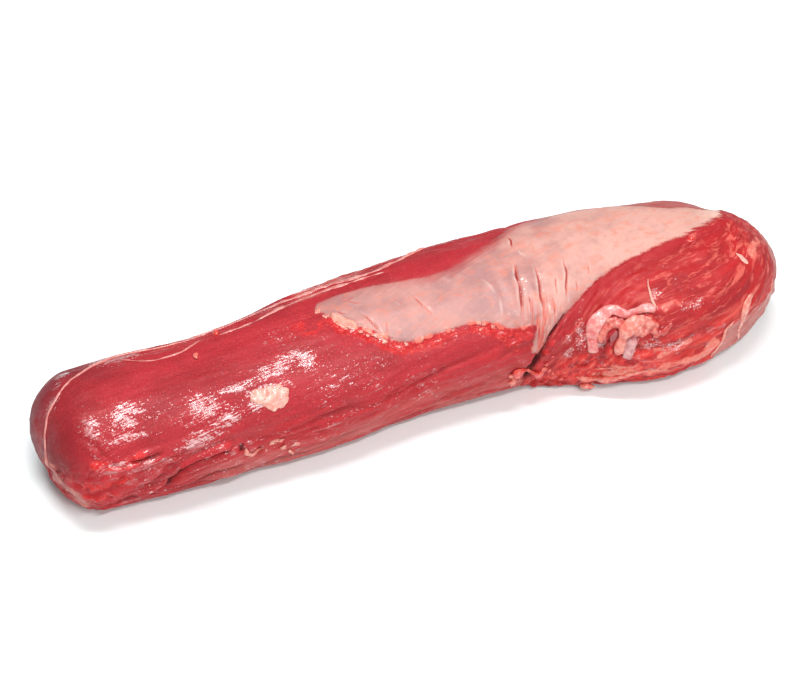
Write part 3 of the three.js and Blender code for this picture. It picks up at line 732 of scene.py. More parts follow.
def meatMaterial():
    material, shader = newMaterial("rawMeat")
    fibre, chart, place = attributeOf("fibre", "Vector"), attributeOf("chart", "Vector"), inMillimetres()
    alongX, roundS, _ = addNode("SeparateXYZ", {0: chart}).outputs
    on = {name: attributeOf(name) for name in
          ("skin", "soft", "lobe", "cap", "rear", "band", "torn", "foot", "deep", "paintedLowReflection", "wet", "rim", "lipGlint",
           "pale", "film", "knot", "paintedEndShade", "fold", "front", "joint", "chain", "thread")}

    def drawn(factors, *settings):    # noise drawn out along the fibres
        return noiseOf(scaled(fibre, factors), 1, *settings)

    def turned(angle, factors, *settings):    # noise drawn out at an angle across the skin
        way = addNode("VectorRotate", {"Vector": chart, "Angle": angle}, rotation_type="Z_AXIS").outputs[0]
        return noiseOf(scaled(way, factors), 1, *settings)

    # lean meat: broad patches, fibres and pale flecks
    clouds, patches = noiseOf(place, 0.05, 4, 0.55), noiseOf(place, 0.03, 3)
    grain, dust = noiseOf(place, 0.55, 4, 0.65), noiseOf(place, 1.1, 3, 0.6)
    bundles = mixValue(on["joint"], drawn((0.022, 0.16, 0.16), 5, 0.62), 0.5)
    threads = mixValue(on["joint"], drawn((0.045, 0.6, 0.6), 4, 0.65), 0.5)
    specks = plus(noiseOf(place, 1.4, 2, 0.5), centred(clouds, 0.3))
    colour = layers(
        mixOf(between(patches, 0.35, 0.7), "lean", "leanDark"),
        ("leanLight", bundles, 0.46, 0.72, 0.3), ("leanLight", threads, 0.52, 0.75, 0.35),
        ("leanDark", threads, 0.46, 0.28, 0.4), ("leanLight", dust, 0.5, 0.7, 0.7),
        ("leanDark", dust, 0.5, 0.32, 0.6), ("marble", grain, 0.66, 0.78, 0.4), ("marble", specks, 0.7, 0.76, 0.7))
    colour = mixOf(times(between(threads, 0.35, 0.6, 0.35, 0.65), on["front"]), colour, "frontRed")
    # painted reflection of the pale table: the film colour laid low on the front
    colour = mixOf(times(between(bundles, 0.4, 0.6, 0.1, 0.45), on["paintedLowReflection"]), colour, "film")
    chainTone = mixOf(between(grain, 0.4, 0.6), "marble", "skinWarm")
    chainEdge = plus(on["chain"], plus(centred(threads, 2.4), centred(bundles, 1.6)))
    colour = layers(colour, (chainTone, chainEdge, 0.7, 1.5, 0.7))
    colour = mixOf(times(on["cap"], 0.9), colour, "violet")
    # painted shade on the tail end's front face
    colour = mixOf(times(on["paintedEndShade"], 0.85), colour, "paintedEndShadeRed")

    # the head: darker and redder, with short streaks of fat between its fibres
    byEdge = between(plus(on["skin"], centred(bundles, 12)), -13, -3, 0, 0.75)
    head = layers(
        mixOf(between(bundles, 0.35, 0.65), "lobeDark", "lobe"),
        ("leanLight", threads, 0.52, 0.72, 0.5), ("leanLight", dust, 0.5, 0.72, 0.35))
    head = mixOf(byEdge, head, "edgeRed")
    lines = between(mathOf("ABSOLUTE", minus(drawn((0.035, 0.24, 0.24), 3, 0.55, 0.3), 0.5)), 0.034, 0.006)
    lines = times(lines, between(drawn((0.09, 0.13, 0.13), 3, 0.6), 0.44, 0.56))
    for gone in (most(on["foot"], on["knot"]), byEdge):
        lines = times(lines, minus(1.0, gone))
    lines = times(lines, between(alongX, 84, 112, 0.25, 1))
    head = mixOf(times(lines, 0.5), head, "marble")
    flecks, footNoise = drawn((0.07, 0.2, 0.2), 4, 0.6, 0.5), drawn((0.03, 0.2, 0.2), 4, 0.62, 0.3)
    head = layers(
        head, ("marble", flecks, 0.54, 0.66, 1, between(alongX, 130, 195, 0.24, 0.62)),
        ("footRed", footNoise, 0.42, 0.56, 0.85, on["foot"]), ("marble", footNoise, 0.58, 0.68, 0.85, on["foot"]),
        ("lobeDark", footNoise, 0.42, 0.32, 0.7, on["foot"]))
    colour = mixOf(on["lobe"], colour, head)
    colour = mixOf(on["rear"], colour, mixOf(0.4, "rearRed", head))
    paleTone = mixOf(between(grain, 0.4, 0.7), "marble", "fat")
    colour = layers(colour, (paleTone, plus(on["pale"], centred(threads, 1.3)), 0.3, 0.8, 0.85))
    filmTone = mixOf(between(clouds, 0.35, 0.65), "film", "skin")
    colour = mixOf(times(on["film"], between(threads, 0.3, 0.7, 0.9, 0.6)), colour, filmTone)

    # wet torn red with granules in it, and painted shade in the depths
    torn = most(most(on["band"], on["torn"]), times(on["knot"], 0.8))
    grit = noiseOf(scaled(place, (0.55, 0.85, 0.45)), 1, 4, 0.7, 0.5)
    gritty = most(on["band"], times(on["torn"], 0.6))
    colour = layers(
        colour, (mixOf(on["torn"], "bright", "tornRed"), plus(torn, centred(grain, 0.9)), 0.35, 0.75, 1),
        ("footRed", grit, 0.5, 0.58, 0.55, gritty), ("marble", grit, 0.58, 0.66, 0.7, gritty),
        ("lobeDark", grit, 0.44, 0.36, 0.5, gritty), ("deep", on["deep"], 0.15, 1.0, 0.9))

    # silverskin: crisp along its lower edge and thinning out along the upper one
    hatch, cross = turned(-0.34, (0.06, 0.85, 0.02), 3, 0.6, 0.15), turned(0.8, (0.05, 0.32, 0.02), 3, 0.6, 0.4)
    brushed = turned(0.25, (0.05, 0.5, 0.02), 4, 0.6, 0.2)
    threaded = turned(-1.31, (0.045, 0.62, 0.02), 4, 0.62, 0.3)
    wisps = noiseOf(scaled(chart, (0.09, 0.2, 0.05)), 1, 5, 0.68, 0.9)
    blotches, spots = noiseOf(place, 0.22, 4, 0.6), noiseOf(place, 0.07, 5, 0.66, 0.3)
    tattered = centred(brushed, between(alongX, 150, 185, 2.5, 12))
    crisp = plus(on["skin"], plus(centred(grain, 2), tattered))
    crisp = between(crisp, -0.9, between(alongX, 150, 185, 0.9, 2.4))
    hazy = between(plus(on["skin"], plus(centred(hatch, 6), centred(clouds, 5))), -3, 8)
    cover = mixValue(on["soft"], crisp, hazy)
    uncovered = minus(1.0, cover)
    skin = layers(
        mixOf(between(clouds, 0.38, 0.62), "skinLilac", "skin"),
        ("skinWarm", plus(alongX, centred(clouds, 160)), 60, 130, 1),
        ("skinCream", plus(alongX, centred(grain, 20)), 176, 196, 1),
        ("skinCream", hatch, 0.5, 0.68, 0.08), ("skinLilac", hatch, 0.47, 0.3, 0.09),
        ("skinCream", cross, 0.54, 0.7, 0.05), ("skinLilac", blotches, 0.5, 0.3, 0.3),
        ("skinOrange", wisps, 0.5, 0.68, 0.5), ("skinOrange", spots, 0.54, 0.72, 0.5),
        ("skinFleck", threaded, 0.47, 0.57, 0.75, on["thread"]),
        ("threadRed", threaded, 0.57, 0.66, 0.8, on["thread"]))
    # on the silverskin: the fold marks carry red blotches and the creases' dark red core, which is partly painted
    # shade; the darkest red is painted shade in the cleft
    skin = layers(
        # painted highlight on the creases' lips and along the glints
        mixOf(times(on["lipGlint"], 0.7), skin, "lipGlint"), ("skinFleck", on["fold"], 0.12, 0.45, 0.5),
        ("foldRed", on["fold"], 0.42, 0.7, 0.95), ("paintedCreaseShade", on["deep"], 0.15, 0.8, 0.95))
    skin = mixOf(times(times(on["soft"], uncovered), 0.6), skin, "haze")
    rimTone = mixOf(between(plus(alongX, centred(grain, 160)), -40, 30), "fat", "rimPink")
    colour = layers(mixOf(cover, colour, skin), (rimTone, plus(on["rim"], centred(grain, 0.9)), 0.3, 0.5, 1))

    # wet gloss, broken by the fibres, with a painted highlight where it is wettest and painted glints round it
    streaks = mixValue(on["joint"], drawn((0.13, 1.05, 1.05), 4, 0.6), 0.5)
    crackle = noiseOf(place, 0.9, 2, 0.6)
    sparkle = between(crackle, 0.64, 0.72)
    soaked = most(on["wet"], times(most(torn, on["foot"]), 0.26))
    flakes = plus(plus(centred(streaks, 2.3), centred(crackle, 0.9)), centred(cross, 1.2))
    wetness = between(plus(least(soaked, 0.64), flakes), 0.42, 0.66, 0, 0.85)
    wetness = most(wetness, times(sparkle, minus(0.9, cover)))
    # painted highlight: a pale colour laid where it is wettest, strongest in a band low on the front
    paintedWetHighlight = times(between(plus(least(on["wet"], 0.7), flakes), 0.6, 0.92), uncovered)
    paintedHighlightShare = least(between(roundS, 25, 34, 0.85, 0.24), between(roundS, 15.5, 18.5, 0.12, 0.68))
    colour = mixOf(times(paintedWetHighlight, mixValue(on["lobe"], paintedHighlightShare, 0.3)), colour, "paintedWetHighlight")
    # painted glints: small pale spots laid in the wet parts of the head and the lean
    paintedBeadGlints = times(between(noiseOf(place, 0.8, 3, 0.65), 0.57, 0.64), between(on["wet"], 0.2, 0.6))
    colour = mixOf(times(paintedBeadGlints, times(on["lobe"], 0.75)), colour, "paintedGlint")
    paintedDropGlints = times(sparkle, between(on["wet"], 0.12, 0.36))
    onLean = mathOf("SUBTRACT", 0.85, most(on["lobe"], cover), clamp=True)
    colour = mixOf(times(paintedDropGlints, onLean), colour, "paintedGlint")

    rough = mixValue(cover, between(bundles, 0.35, 0.65, 0.72, 0.58), 0.48)
    rough = mixValue(wetness, rough, 0.3)
    rough = mixValue(between(on["deep"], 0.3, 1.0), rough, 1.0)
    pits = noiseOf(place, 0.6, 2, 0.5)
    fine = plus(plus(times(threads, 0.6), times(pits, 0.9)), times(bundles, 1.2))
    fine = plus(fine, times(streaks, between(soaked, 0.1, 0.7, 0.3, 0.7)))
    skinFine = plus(plus(times(hatch, 0.3), times(wisps, 0.6)), plus(times(cross, 0.3), times(pits, 0.4)))
    relief = addNode("Bump", {"Height": mixValue(cover, fine, skinFine), "Strength": 1.0,
                              "Distance": 0.00025}).outputs[0]
    give(shader, {"Base Color": colour, "Roughness": rough, "Coat Weight": wetness, "Normal": relief,
                  "Coat Normal": relief, **meatFinish})
    return material


meat = makeMeat()
meat.data.materials.append(meatMaterial())
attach(meat, "root")
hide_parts("tenderloin")
meatSkin = BVHTree.FromObject(meat, bpy.context.evaluated_depsgraph_get())


# Small pieces that lie on the meat. A path is given by place along and angle on a muscle, or by its points.
laying = {"perSpan": 12, "rounds": 3, "above": 9, "reach": 0.03}    # how paths are drawn and the meat is found


def smoothPath(path, count):    # a curve through the points, evenly spaced
    path = np.asarray(path, float)
    ends = np.vstack([2 * path[0] - path[1], path, 2 * path[-1] - path[-2]])
    fine = []
    for a, b, c, d in zip(ends[:-3], ends[1:-2], ends[2:-1], ends[3:]):
        t = np.linspace(0, 1, laying["perSpan"], endpoint=False)[:, None]
        fine.append(0.5 * (2 * b + (c - a) * t + (2 * a - 5 * b + 4 * c - d) * t ** 2
                           + (3 * b - a - 3 * c + d) * t ** 3))
    fine = np.vstack([*fine, path[-1:]])
    gone = np.concatenate([[0], np.cumsum(np.linalg.norm(np.diff(fine, axis=0), axis=1))])
    wanted = np.linspace(0, gone[-1], count)
    return np.stack([np.interp(wanted, gone, fine[:, k]) for k in range(3)], 1), gone[-1]


def layOn(points):    # the finished meat under each place, and which way is out
    ground, out = surfaceAt(points, laying["rounds"])
    laid = []
    for place, way in zip(ground, out):
        above = Vector(toScene(place + way * laying["above"]))
        hit = meatSkin.ray_cast(above, Vector(-way), laying["reach"])[0]
        laid.append(place if hit is None else toMuscle(hit))
    return np.array(laid), out


def pathPoints(plan):
    path = plan["path"]
    if len(path[0]) == 3:
        return np.array(path, float)
    return pointsOn(plan.get("muscle", "long"), [p[0] for p in path], [p[1] for p in path])


softFinish = {"Coat Weight": 0.5, "Coat Roughness": 0.14, "Subsurface Weight": 0.2,
              "Subsurface Radius": (0.003, 0.0012, 0.0008), "Subsurface Scale": 1.0}


def softMaterial(name, tones, gloss, spotSize=0.25, foot=None):    # fat, sinew and torn meat
    material, shader = newMaterial(name)
    place = inMillimetres()
    main, light, dark = (colourOf(*tone) for tone in tones)
    clouds, veins = noiseOf(place, spotSize, 4, 0.6), noiseOf(place, spotSize * 2.4, 4, 0.65, 0.6)
    colour = layers(mixOf(between(clouds, 0.35, 0.65), main, light), (dark, veins, 0.55, 0.78, 0.85))
    if foot:    # painted shade: darker where it sinks into the meat
        colour = mixOf(between(attributeOf("rise"), *foot, 0.9, 0), colour, dark)
    rough = between(noiseOf(place, 0.5, 3), 0.3, 0.7, gloss, gloss + 0.22)
    relief = addNode("Bump", {"Height": noiseOf(place, 0.8, 4, 0.6), "Strength": 0.8, "Distance": 0.0006})
    give(shader, {"Base Color": colour, "Roughness": rough, "Normal": relief.outputs[0], **softFinish})
    return material


# the last pair, where given: over what height above the meat painted shade darkens a piece as it sinks in
fat = softMaterial("fat", [(234, 152, 136), (244, 186, 170), (218, 96, 84)], 0.28)
pinkFat = softMaterial("pinkFat", [(226, 108, 94), (240, 158, 140), (188, 32, 32)], 0.2, 0.3, (0.2, 2.6))
ribbonFat = softMaterial("ribbonFat", [(226, 116, 114), (242, 168, 160), (196, 46, 48)], 0.16, 0.3, (0, 2.2))
crumbFat = softMaterial("crumbFat", [(228, 122, 106), (240, 164, 146), (206, 66, 60)], 0.24, 0.4)
spotFat = softMaterial("spotFat", [(228, 80, 64), (238, 140, 120), (186, 28, 30)], 0.2, 0.4)
sinew = softMaterial("sinew", [(208, 112, 108), (226, 150, 140), (180, 56, 60)], 0.3, 0.2)
lilacFilm = softMaterial("lilacFilm", [(202, 120, 122), (232, 174, 170), (178, 60, 66)], 0.1, 0.3, (0, 1.6))
tornMeat = softMaterial("tornMeat", [(220, 34, 28), (234, 92, 74), (150, 8, 14)], 0.16, 0.3)
finishes = {    # material and slot
    "sinew": (sinew, "silverskin"), "thread": (fat, "silverskin"), "membrane": (crumbFat, "silverskin"),
    "lilacFilm": (lilacFilm, "silverskin"), "fat": (fat, "fat"), "ribbonFat": (ribbonFat, "fat"),
    "crumbFat": (crumbFat, "fat"), "spotFat": (spotFat, "fat"), "pinkFat": (pinkFat, "fat"),
    "tornMeat": (tornMeat, "meat"),
}


def finishPiece(piece, name, finish):
    material, slot = finishes[finish]
    piece.name = piece.data.name = name
    piece.data.materials.append(material)
    # how far each piece stands above the meat, for painted shade where it sinks in
    keepValues(piece, "rise", skinsOf(toMuscle(readPoints(piece)))[0].min(0))
    pick(piece)
    bpy.ops.object.shade_smooth()
    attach(piece, "root")


strandForm = {"step": 1.3, "smooth": 3, "sides": 14, "blunt": 8, "taper": [(0, 1), (1, 1)], "raise": 0,
              "wobble": 0.25, "wobbleSize": 5, "lumps": 0.25, "lumpSize": 2.2, "thinnest": 0.2}
ribbonForm = {"lumps": 0.6, "lumpSize": 2.6, "smooth": 2, "step": 0.8, "sides": 20, "wobbleSize": 4}
filmForm = {"lumps": 0.8, "lumpSize": 3, "blunt": 20, "wobble": 0.5, "wobbleSize": 3.5,
            "taper": [(0, 1.0), (0.25, 0.75), (0.6, 1.1), (1, 0.8)]}
lobeForm = {"ragged": 0.25, "detail": 3}
fusedForm = {"smooth": 0.6, "passes": 3, "bumps": [(2.2, 81, 1), (1.1, 82, 0.6)]}
lumpForm = {"detail": 4, "along": (1, 0, 0), "ragged": 0.3, "outline": 0.7, "lumps": 0.2, "lumpSize": 1.8}


def makeStrand(plan):    # a flat cord laid along a path, thick in the middle, uneven, sunk a little
    plan = {**strandForm, **plan}
    _, length = smoothPath(pathPoints(plan), 4)
    count = max(10, int(length / plan["step"]))
    line, _ = smoothPath(pathPoints(plan), count + 1)
    line, out = layOn(line)
    for _ in range(plan["smooth"]):
        line[1:-1] = line[1:-1] * 0.5 + (line[:-2] + line[2:]) * 0.25
    side = np.cross(np.gradient(line, axis=0), out)
    side /= np.linalg.norm(side, axis=1)[:, None]
    clearSelection()
    bpy.ops.mesh.primitive_uv_sphere_add(segments=plan["sides"], ring_count=count, radius=1)
    piece = bpy.context.object
    ball = readPoints(piece)
    share = np.arccos(np.clip(ball[:, 2], -1, 1)) / math.pi
    around = np.arctan2(ball[:, 1], ball[:, 0])
    centre, across, up = (
        np.stack([np.interp(share * count, range(count + 1), values[:, k]) for k in range(3)], 1)
        for values in (line, side, out))
    blunt = np.sqrt(np.clip(1 - np.abs(2 * share - 1) ** plan["blunt"], 0, 1))
    blunt = blunt * np.interp(share, *zip(*plan["taper"]))
    blunt = blunt * (1 + plan["wobble"] * noiseAt(centre, plan["wobbleSize"], plan["seed"]))
    shaped = (centre + across * (np.cos(around) * blunt * plan["width"] / 2)[:, None]
              + up * (np.sin(around) * blunt * plan["height"] / 2 + plan["raise"])[:, None])
    bumps = noiseAt(shaped, plan["lumpSize"], plan["seed"] + 1) * plan["lumps"]
    away = shaped - centre
    size = np.maximum(np.linalg.norm(away, axis=1), plan["thinnest"])
    writePoints(piece, shaped + away / size[:, None] * bumps[:, None])
    return piece


def makeLump(plan):    # a flattened blob with an uneven outline
    plan = {**lumpForm, **plan}
    clearSelection()
    bpy.ops.mesh.primitive_ico_sphere_add(subdivisions=plan["detail"], radius=1)
    piece = bpy.context.object
    ball = readPoints(piece)
    place, out = layOn(np.array([plan["at"]], float))
    up = out[0]
    along = np.array(plan["along"], float)
    along = along - up * (along @ up)
    along /= np.linalg.norm(along)
    seed = plan["seed"]
    ball = ball * (1 + plan["ragged"] * noiseAt(ball + seed, plan["outline"], seed))[:, None]
    shaped = place[0] + sum(way * ball[:, k:k + 1] * plan["size"][k] / 2
                            for k, way in enumerate((along, np.cross(up, along), up)))
    writePoints(piece, shaped + up * (noiseAt(shaped, plan["lumpSize"], seed + 1) * plan["lumps"])[:, None])
    return piece


strands = {
    # the cord of sinew in the seam round the tail end
    "tailBand": {"path": [(-82, 29, 59), (-100, 28, 55), (-117, 28, 55), (-131, 29, 55), (-148, 29, 55),
        (-159, 27, 56), (-167, 23, 57), (-175, 19, 59), (-182, 14, 59), (-188, 9, 57), (-193, 5, 52),
        (-196, 0, 47), (-198, -5, 42), (-198, -8, 37), (-198, -11, 31), (-196, -17, 28), (-193, -22, 26),
        (-190, -26, 22), (-187, -29, 15)], "width": 1.7, "height": 1.5, "raise": 0, "seed": 21,
        "finish": "sinew", "taper": [(0, 0.5), (0.3, 0.8), (0.6, 0.9), (0.85, 1.0), (0.93, 1.1), (1, 0.4)],
        "lumps": 0.2},
    # thin lines of sinew beside it on the top
    "topThread": {"path": [(-148, 133), (-143, 128), (-138, 122), (-131, 118), (-126, 118), (-118, 118),
        (-111, 122), (-104, 128)], "width": 1.1, "height": 0.9, "raise": 0.05, "wobble": 0.7, "seed": 34,
        "finish": "sinew", "lumps": 0.1},
    # pale strips of the trimmed chain along the far top edge
    "edgeStripA": {"path": [(-118, 140), (-100, 136), (-76, 133), (-52, 131), (-30, 127), (-16, 121),
        (0, 118), (14, 125), (28, 133), (44, 139)], "width": 2.4, "height": 1.3, "raise": -0.1, "seed": 22,
        "finish": "sinew", "wobble": 1.1, "wobbleSize": 7, "lumps": 0.6},
    "edgeStripB": {"path": [(-96, 123), (-76, 121), (-56, 121), (-36, 122), (-18, 117), (2, 113)],
        "width": 1.8, "height": 1.0, "raise": -0.1, "seed": 23, "finish": "sinew", "wobble": 1.1,
        "wobbleSize": 6, "lumps": 0.4},
    "sinewThread": {"path": [(135, -21, 63), (133, -26, 62), (132.5, -29, 62), (132, -32, 60),
        (132, -35, 59), (133, -38, 57)], "width": 1.2, "height": 1.1, "raise": 0.5, "seed": 28,
        "finish": "thread", "step": 0.8, "lumps": 0.15, "taper": [(0, 0.4), (0.5, 0.9), (1, 1.3)]},
    # the pink ribbon that hoods the knot
    "knotRibbon": {"path": [(98, -37, 34), (98, -35, 40), (98, -33, 45), (100, -31, 49), (104, -30, 53),
        (108, -29, 56), (111, -30, 57), (114, -33, 56), (117, -36, 56), (120, -36, 57), (125, -37, 59),
        (129, -37, 58), (132, -39, 56)], "width": 8.0, "height": 2.4, "raise": 1.2, "seed": 51,
        "finish": "ribbonFat", "sides": 26, "step": 0.6, "blunt": 22, "wobble": 0.35, "wobbleSize": 4.5,
        "lumps": 0.5, "lumpSize": 4.2, "taper": [(0, 1.15), (0.04, 1.0), (0.1, 0.76), (0.2, 0.85),
        (0.34, 1.0), (0.45, 0.8), (0.56, 0.95), (0.66, 0.5), (0.85, 0.55), (1, 0.62)]},
    # the edge of the membrane folded over the head's end
    "foldEdge": {"path": [(191, -39, 49), (188, -40, 47), (186, -42, 43), (184, -44, 37), (183, -45, 28),
        (184, -44, 18)], "width": 5.0, "height": 2.0, "raise": 0.1, "seed": 31, "finish": "membrane",
        "wobble": 0.4, "lumps": 0.5, "taper": [(0, 0.9), (0.25, 1.0), (0.5, 0.55), (0.8, 0.35), (1, 0.2)]},
    "foldFork": {"path": [(178, -45, 38), (174, -46, 34), (170, -47, 26), (167, -46, 17), (166, -45, 10)],
        "width": 2.2, "height": 1.3, "raise": 0.1, "seed": 32, "finish": "membrane", "wobble": 0.5,
        "lumps": 0.4, "taper": [(0, 0.4), (0.3, 1), (0.7, 0.8), (1, 0.3)]},
    # a curl of fat low on the front
    "frontCurl": {"path": [(-99, -38, 34), (-99, -38, 30), (-96, -38, 27), (-93, -38, 28), (-89, -38, 29)],
        "width": 2.3, "height": 1.7, "raise": 0.2, "seed": 38, "finish": "crumbFat", "step": 0.8,
        "wobble": 0.6, "wobbleSize": 3, "lumps": 0.4, "taper": [(0, 0.6), (0.5, 1), (1, 0.3)]},
    # ropes of fat along the foot of the head
    "footRope": {"path": [(89, -35, 14), (93, -35, 13), (98, -37, 10), (104, -40, 12), (112, -43, 16),
        (119, -46, 19), (126, -48, 19), (135, -50, 18)], "width": 4.6, "height": 2.2, "raise": 0.1,
        "seed": 36, "finish": "spotFat", "wobble": 0.7, "wobbleSize": 4, "lumps": 0.6,
        "taper": [(0, 0.3), (0.12, 1.0), (0.3, 1.2), (0.6, 0.7), (1, 0.2)]},
    "footThread": {"path": [(98, -37, 23), (101, -39, 20), (108, -42, 22), (115, -45, 24), (122, -47, 25)],
        "width": 2.4, "height": 1.4, "raise": 0, "seed": 37, "finish": "spotFat", "wobble": 0.7,
        "lumps": 0.4, "taper": [(0, 0.3), (0.4, 1), (1, 0.2)]},
}
for name, plan in strands.items():
    finishPiece(makeStrand(plan), name, plan["finish"])
print("strands laid:", len(strands))

lumps = {
    "redSpot": {"at": (-111, 8, 63), "along": (0, 1, 0), "size": (5.5, 2.8, 2.6), "seed": 42,
        "finish": "spotFat"},
    "whiteFleck": {"at": (190, -24, 61), "along": (1, -1.6, 0), "size": (8.5, 2.6, 1.3), "seed": 43,
        "finish": "fat"},
    "footFlap": {"at": (97, -35, 6), "along": (1, 0, -0.1), "size": (9, 4, 3), "seed": 45,
        "finish": "spotFat"},
    "edgeFlap": {"at": (167, -4, 66), "along": (1, -0.5, 0), "size": (6, 2.6, 1.6), "seed": 46,
        "finish": "tornMeat"},
    "topTag": {"at": (-96, 24, 62), "along": (0, 0.2, 1), "size": (5, 3, 5), "seed": 44,
        "finish": "tornMeat"},
}
for name, plan in lumps.items():
    finishPiece(makeLump(plan), name, plan["finish"])
print("lumps laid:", len(lumps))


def makeFused(plan):    # small lobes and folded ribbons, fused into one skin
    parts = [makeStrand({**ribbonForm, **ribbon}) for ribbon in plan.get("ribbons", [])]
    places = pathPoints({**plan, "path": [lobe[:-1] for lobe in plan["lobes"]]})
    for number, (place, lobe) in enumerate(zip(places, plan["lobes"])):
        size = lobe[-1]
        parts.append(makeLump({"at": place, "along": (1, 0.4 * number % 3 - 1, 0), "seed": plan["seed"] + number,
                               "size": (size, size * 0.85, size * plan["flat"]), **lobeForm}))
    whole = joinAll(parts)
    applyModifier(whole, "REMESH", mode="VOXEL", voxel_size=plan["voxel"] * mm, adaptivity=0)
    applyModifier(whole, "SMOOTH", factor=fusedForm["smooth"], iterations=fusedForm["passes"])
    points = toMuscle(readPoints(whole))
    _, out = surfaceAt(points, rounds=0)
    rough = plan["rough"] * sum(share * noiseAt(points, size, seed) for size, seed, share in fusedForm["bumps"])
    writePoints(whole, points + out * rough[:, None], onTable=False)
    return whole


fused = {
    "fatPatch": {"lobes": [(-90, 49, 5.5), (-88, 53, 6), (-87, 47, 7), (-84, 51, 7), (-81, 52, 6), (-84, 44, 6.5),
        (-80, 46, 8), (-77, 50, 7), (-81, 39, 6), (-76, 43, 7), (-74, 47, 6.5), (-77, 38, 5), (-74, 41, 4.5),
        (-83, 41, 5)], "flat": 0.34, "seed": 110, "voxel": 0.6, "rough": 0.4, "finish": "fat"},
    # the frayed flap at the foot of the cleft
    "cleftTag": {
        "ribbons": [{"path": [(54, -33, 25), (57, -35.5, 27), (60, -37, 26), (64, -36, 23.5), (68, -34, 22),
            (72, -33, 21)], "width": 7.6, "height": 2.6, "raise": 0.8, "seed": 56, "wobble": 0.4,
            "taper": [(0, 1.2), (0.3, 0.9), (0.55, 0.4), (0.8, 0.6), (1, 0.7)]}],
        "lobes": [(72, -31, 25, 4.2), (75, -32, 22, 3.6), (79, -31, 15, 4.2), (83, -31, 11, 3.6),
            (77, -32, 18, 2.8), (73, -33, 29, 3.4), (76, -32, 34, 2.6), (69, -33, 22, 4.4)],
        "flat": 0.6, "seed": 120, "voxel": 0.6, "rough": 0.5, "finish": "tornMeat"},
    "tagTip": {"lobes": [(53, -33, 26, 4.2), (53, -32, 22, 4.8), (54, -31, 18, 4.2), (55, -34, 24, 4.2)],
        "flat": 0.5, "seed": 140, "voxel": 0.55, "rough": 0.4, "finish": "spotFat"},
    # the knot on the head
    "fatKnot": {
        "ribbons": [
            {"path": [(109, -43, 31), (111, -42, 38), (112, -42, 45), (115, -40, 49), (119, -40, 53),
                (122, -40, 55), (126, -40, 56)],
                "width": 7.4, "height": 3.8, "raise": 1.1, "seed": 52, "wobble": 0.35,
                "taper": [(0, 0.75), (0.06, 0.62), (0.14, 0.8), (0.3, 0.72), (0.45, 0.9), (0.6, 1.1), (1, 0.8)]},
            {"path": [(131, -49, 46), (134, -48, 48), (137, -46, 49), (140, -45, 52)], "width": 4.6, "height": 2.4,
                "raise": 0.3, "seed": 53, "taper": [(0, 0.9), (0.4, 1), (1, 0.35)]},
            {"path": [(116, -38, 54), (112, -36, 51), (108, -35, 50), (105, -35, 47), (102, -36, 43),
                (102, -37, 40)], "width": 4.6, "height": 3.0, "raise": 0.9, "seed": 57, "wobble": 0.5,
                "taper": [(0, 0.5), (0.3, 1), (0.7, 1), (1, 0.9)]}],
        "lobes": [(105, 55, 5.2), (108, 56, 5.0), (104, 48, 5.2), (102, 42, 4.6), (102, 36, 4.0), (111, 54, 4.6),
            (106, 50, 4.8), (114, 52, 4.2), (104, 38, 3.4), (124, 45, 5.6), (127, 40, 5.8), (122, 38, 5.2),
            (123, 33, 4.8), (120, 35, 4.4), (125, 34, 4.8), (129, 34, 5.4), (129, 41, 5.6), (128, 46, 5.4),
            (126, 44, 5.0), (131, 38, 5.2), (130, 29, 4.4), (121, 47, 5.0)],
        "muscle": "side", "flat": 0.9, "seed": 60, "voxel": 0.45, "rough": 0.25, "finish": "pinkFat"},
}
for name, plan in fused.items():
    finishPiece(makeFused(plan), name, plan["finish"])

films = [    # thin sheets between the knot's folds
    {"path": [(114, -44, 30), (116, -44, 36), (117, -43, 42), (118, -43, 49)], "width": 6.6, "height": 1.5,
     "raise": 0.5, "seed": 54},
    {"path": [(106.5, -41, 38), (108, -40, 43), (110, -38, 48)], "width": 5.4, "height": 1.3, "raise": 0.2,
     "seed": 55}]
finishPiece(joinAll([makeStrand({**filmForm, **plan}) for plan in films]), "knotFilm", "lilacFilm")
print("knot made")

# Small crumbs of fat along the silverskin's edge and low on the front: place and length, or how many.
crumbs = {
    "edge": 24, "edgeSize": (1.0, 2.1), "below": (0, 6), "bunched": 1.3, "ends": (66, 34), "edgeSeed": 140,
    "front": [(-85, -38, 31, 3.4), (-83, -38, 32, 4), (-80, -38, 31, 4.4), (-79, -38, 27, 3.4),
              (-75, -37, 22, 3), (-72, -38, 27, 4)],
    "frontWidth": (2.6, 4.0), "frontHeight": 1.5, "frontSeed": 180, "ragged": 0.8, "seed": 90,
}


def makeCrumbs():
    chance = np.random.default_rng(crumbs["seed"])
    shape = {"ragged": crumbs["ragged"], "detail": 3}
    parts = []
    lastX, lastAngle = crumbs["ends"]
    edge = np.array([p for p in body["skinLow"] if p[0] < lastX and p[1] > lastAngle], float)
    gone = np.linspace(0, 1, len(edge))
    for number in range(crumbs["edge"]):
        at = chance.uniform(0, 1) ** crumbs["bunched"]
        px, angle = (np.interp(at, gone, edge[:, k]) for k in range(2))
        angle = angle - chance.uniform(*crumbs["below"])
        size = chance.uniform(*crumbs["edgeSize"]) * (1.2 if px < 0 else 0.9)
        parts.append(makeLump({"at": pointsOn("long", [px], [angle])[0], "along": (1, chance.uniform(-1, 1), 0),
                               "size": (size * 1.6, size, size * 0.4), **shape,
                               "seed": crumbs["edgeSeed"] + number}))
    for number, (*place, length) in enumerate(crumbs["front"]):
        parts.append(makeLump({"at": place, "along": (1, 0, chance.uniform(-0.2, 0.6)),
                               "size": (length, chance.uniform(*crumbs["frontWidth"]), crumbs["frontHeight"]),
                               "seed": crumbs["frontSeed"] + number, **shape}))
    return joinAll(parts)


finishPiece(makeCrumbs(), "fatCrumbs", "crumbFat")
print("crumbs laid")


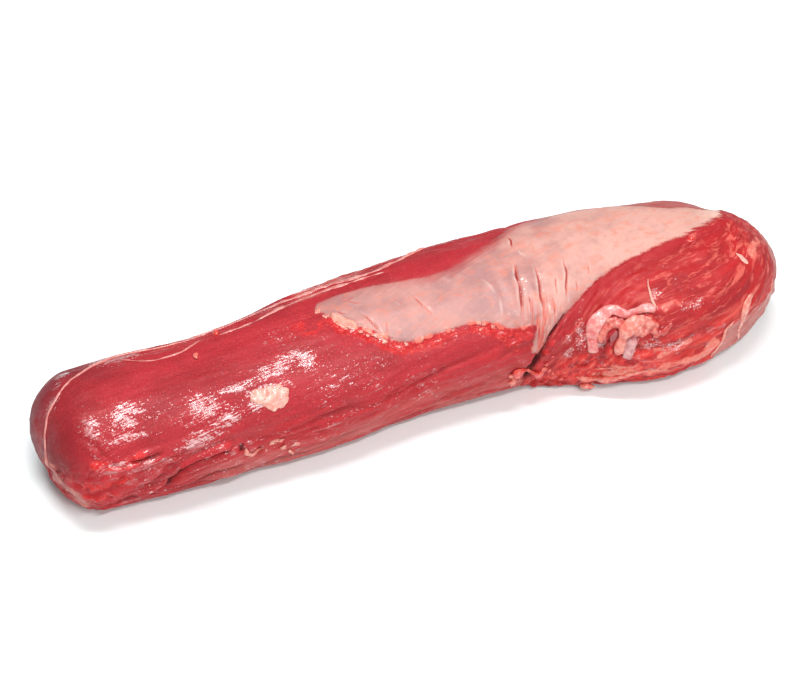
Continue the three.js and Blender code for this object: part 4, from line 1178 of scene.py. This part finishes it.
# Table, light and camera.
table = {"size": 6, "drop": 0.0006, "colour": (0.87, 0.93, 0.93, 1), "roughness": 0.7}
lamps = {    # place, aim, size and power
    "overhead": ((0.0, 0.05, 1.15), (-0.03, 0, 0.03), (0.64, 0.1), 9.6),
    "frontHigh": ((0.06, -0.68, 1.15), (-0.03, 0, 0.03), (0.62, 0.085), 7.4),
    "frontLow": ((0.18, -1.32, 1.15), (0, 0, 0.03), (0.75, 0.12), 9.5),
}
daylight = {"tilt": (-15, -8, 0), "power": 0.85, "angle": 12, "room": 0.32}
view = {"azimuth": -20, "elevation": 48, "distance": 1.3, "lens": 108, "sensor": 36, "target": (0, 0, 35)}


def makeTable():
    clearSelection()
    bpy.ops.mesh.primitive_plane_add(size=table["size"], location=(0, 0, -table["drop"]))
    top = bpy.context.object
    top.name = "table"
    bpy.ops.object.transform_apply(location=True)
    material, shader = newMaterial("paleTable")
    give(shader, {"Base Color": table["colour"], "Roughness": table["roughness"]})
    top.data.materials.append(material)


def addLamp(name, place, aim, size, power):
    bpy.ops.object.light_add(type="AREA", location=place)
    lamp = bpy.context.object
    lamp.name = name
    lamp.rotation_euler = (Vector(aim) - Vector(place)).to_track_quat("-Z", "Y").to_euler()
    lamp.data.shape = "RECTANGLE"
    lamp.data.size, lamp.data.size_y = size
    lamp.data.energy = power


def addDaylight():
    bpy.ops.object.light_add(type="SUN", rotation=[math.radians(turn) for turn in daylight["tilt"]])
    bpy.context.object.data.energy = daylight["power"]
    bpy.context.object.data.angle = math.radians(daylight["angle"])
    world = bpy.data.worlds.new("room")
    scene.world = world
    world.use_nodes = True
    give(world.node_tree.nodes["Background"], {0: (1, 1, 1, 1), 1: daylight["room"]})


def makeCamera():
    a, e = math.radians(view["azimuth"]), math.radians(view["elevation"])
    back = Vector((math.sin(a) * math.cos(e), -math.cos(a) * math.cos(e), math.sin(e)))
    bpy.ops.object.camera_add(location=Vector(toScene(view["target"])) + back * view["distance"])
    camera = bpy.context.object
    camera.rotation_euler = (-back).to_track_quat("-Z", "Y").to_euler()
    camera.data.lens, camera.data.sensor_width = view["lens"], view["sensor"]
    scene.camera = camera


makeTable()
for name, lamp in lamps.items():
    addLamp(name, *lamp)
addDaylight()
makeCamera()
print("table, light and camera made")
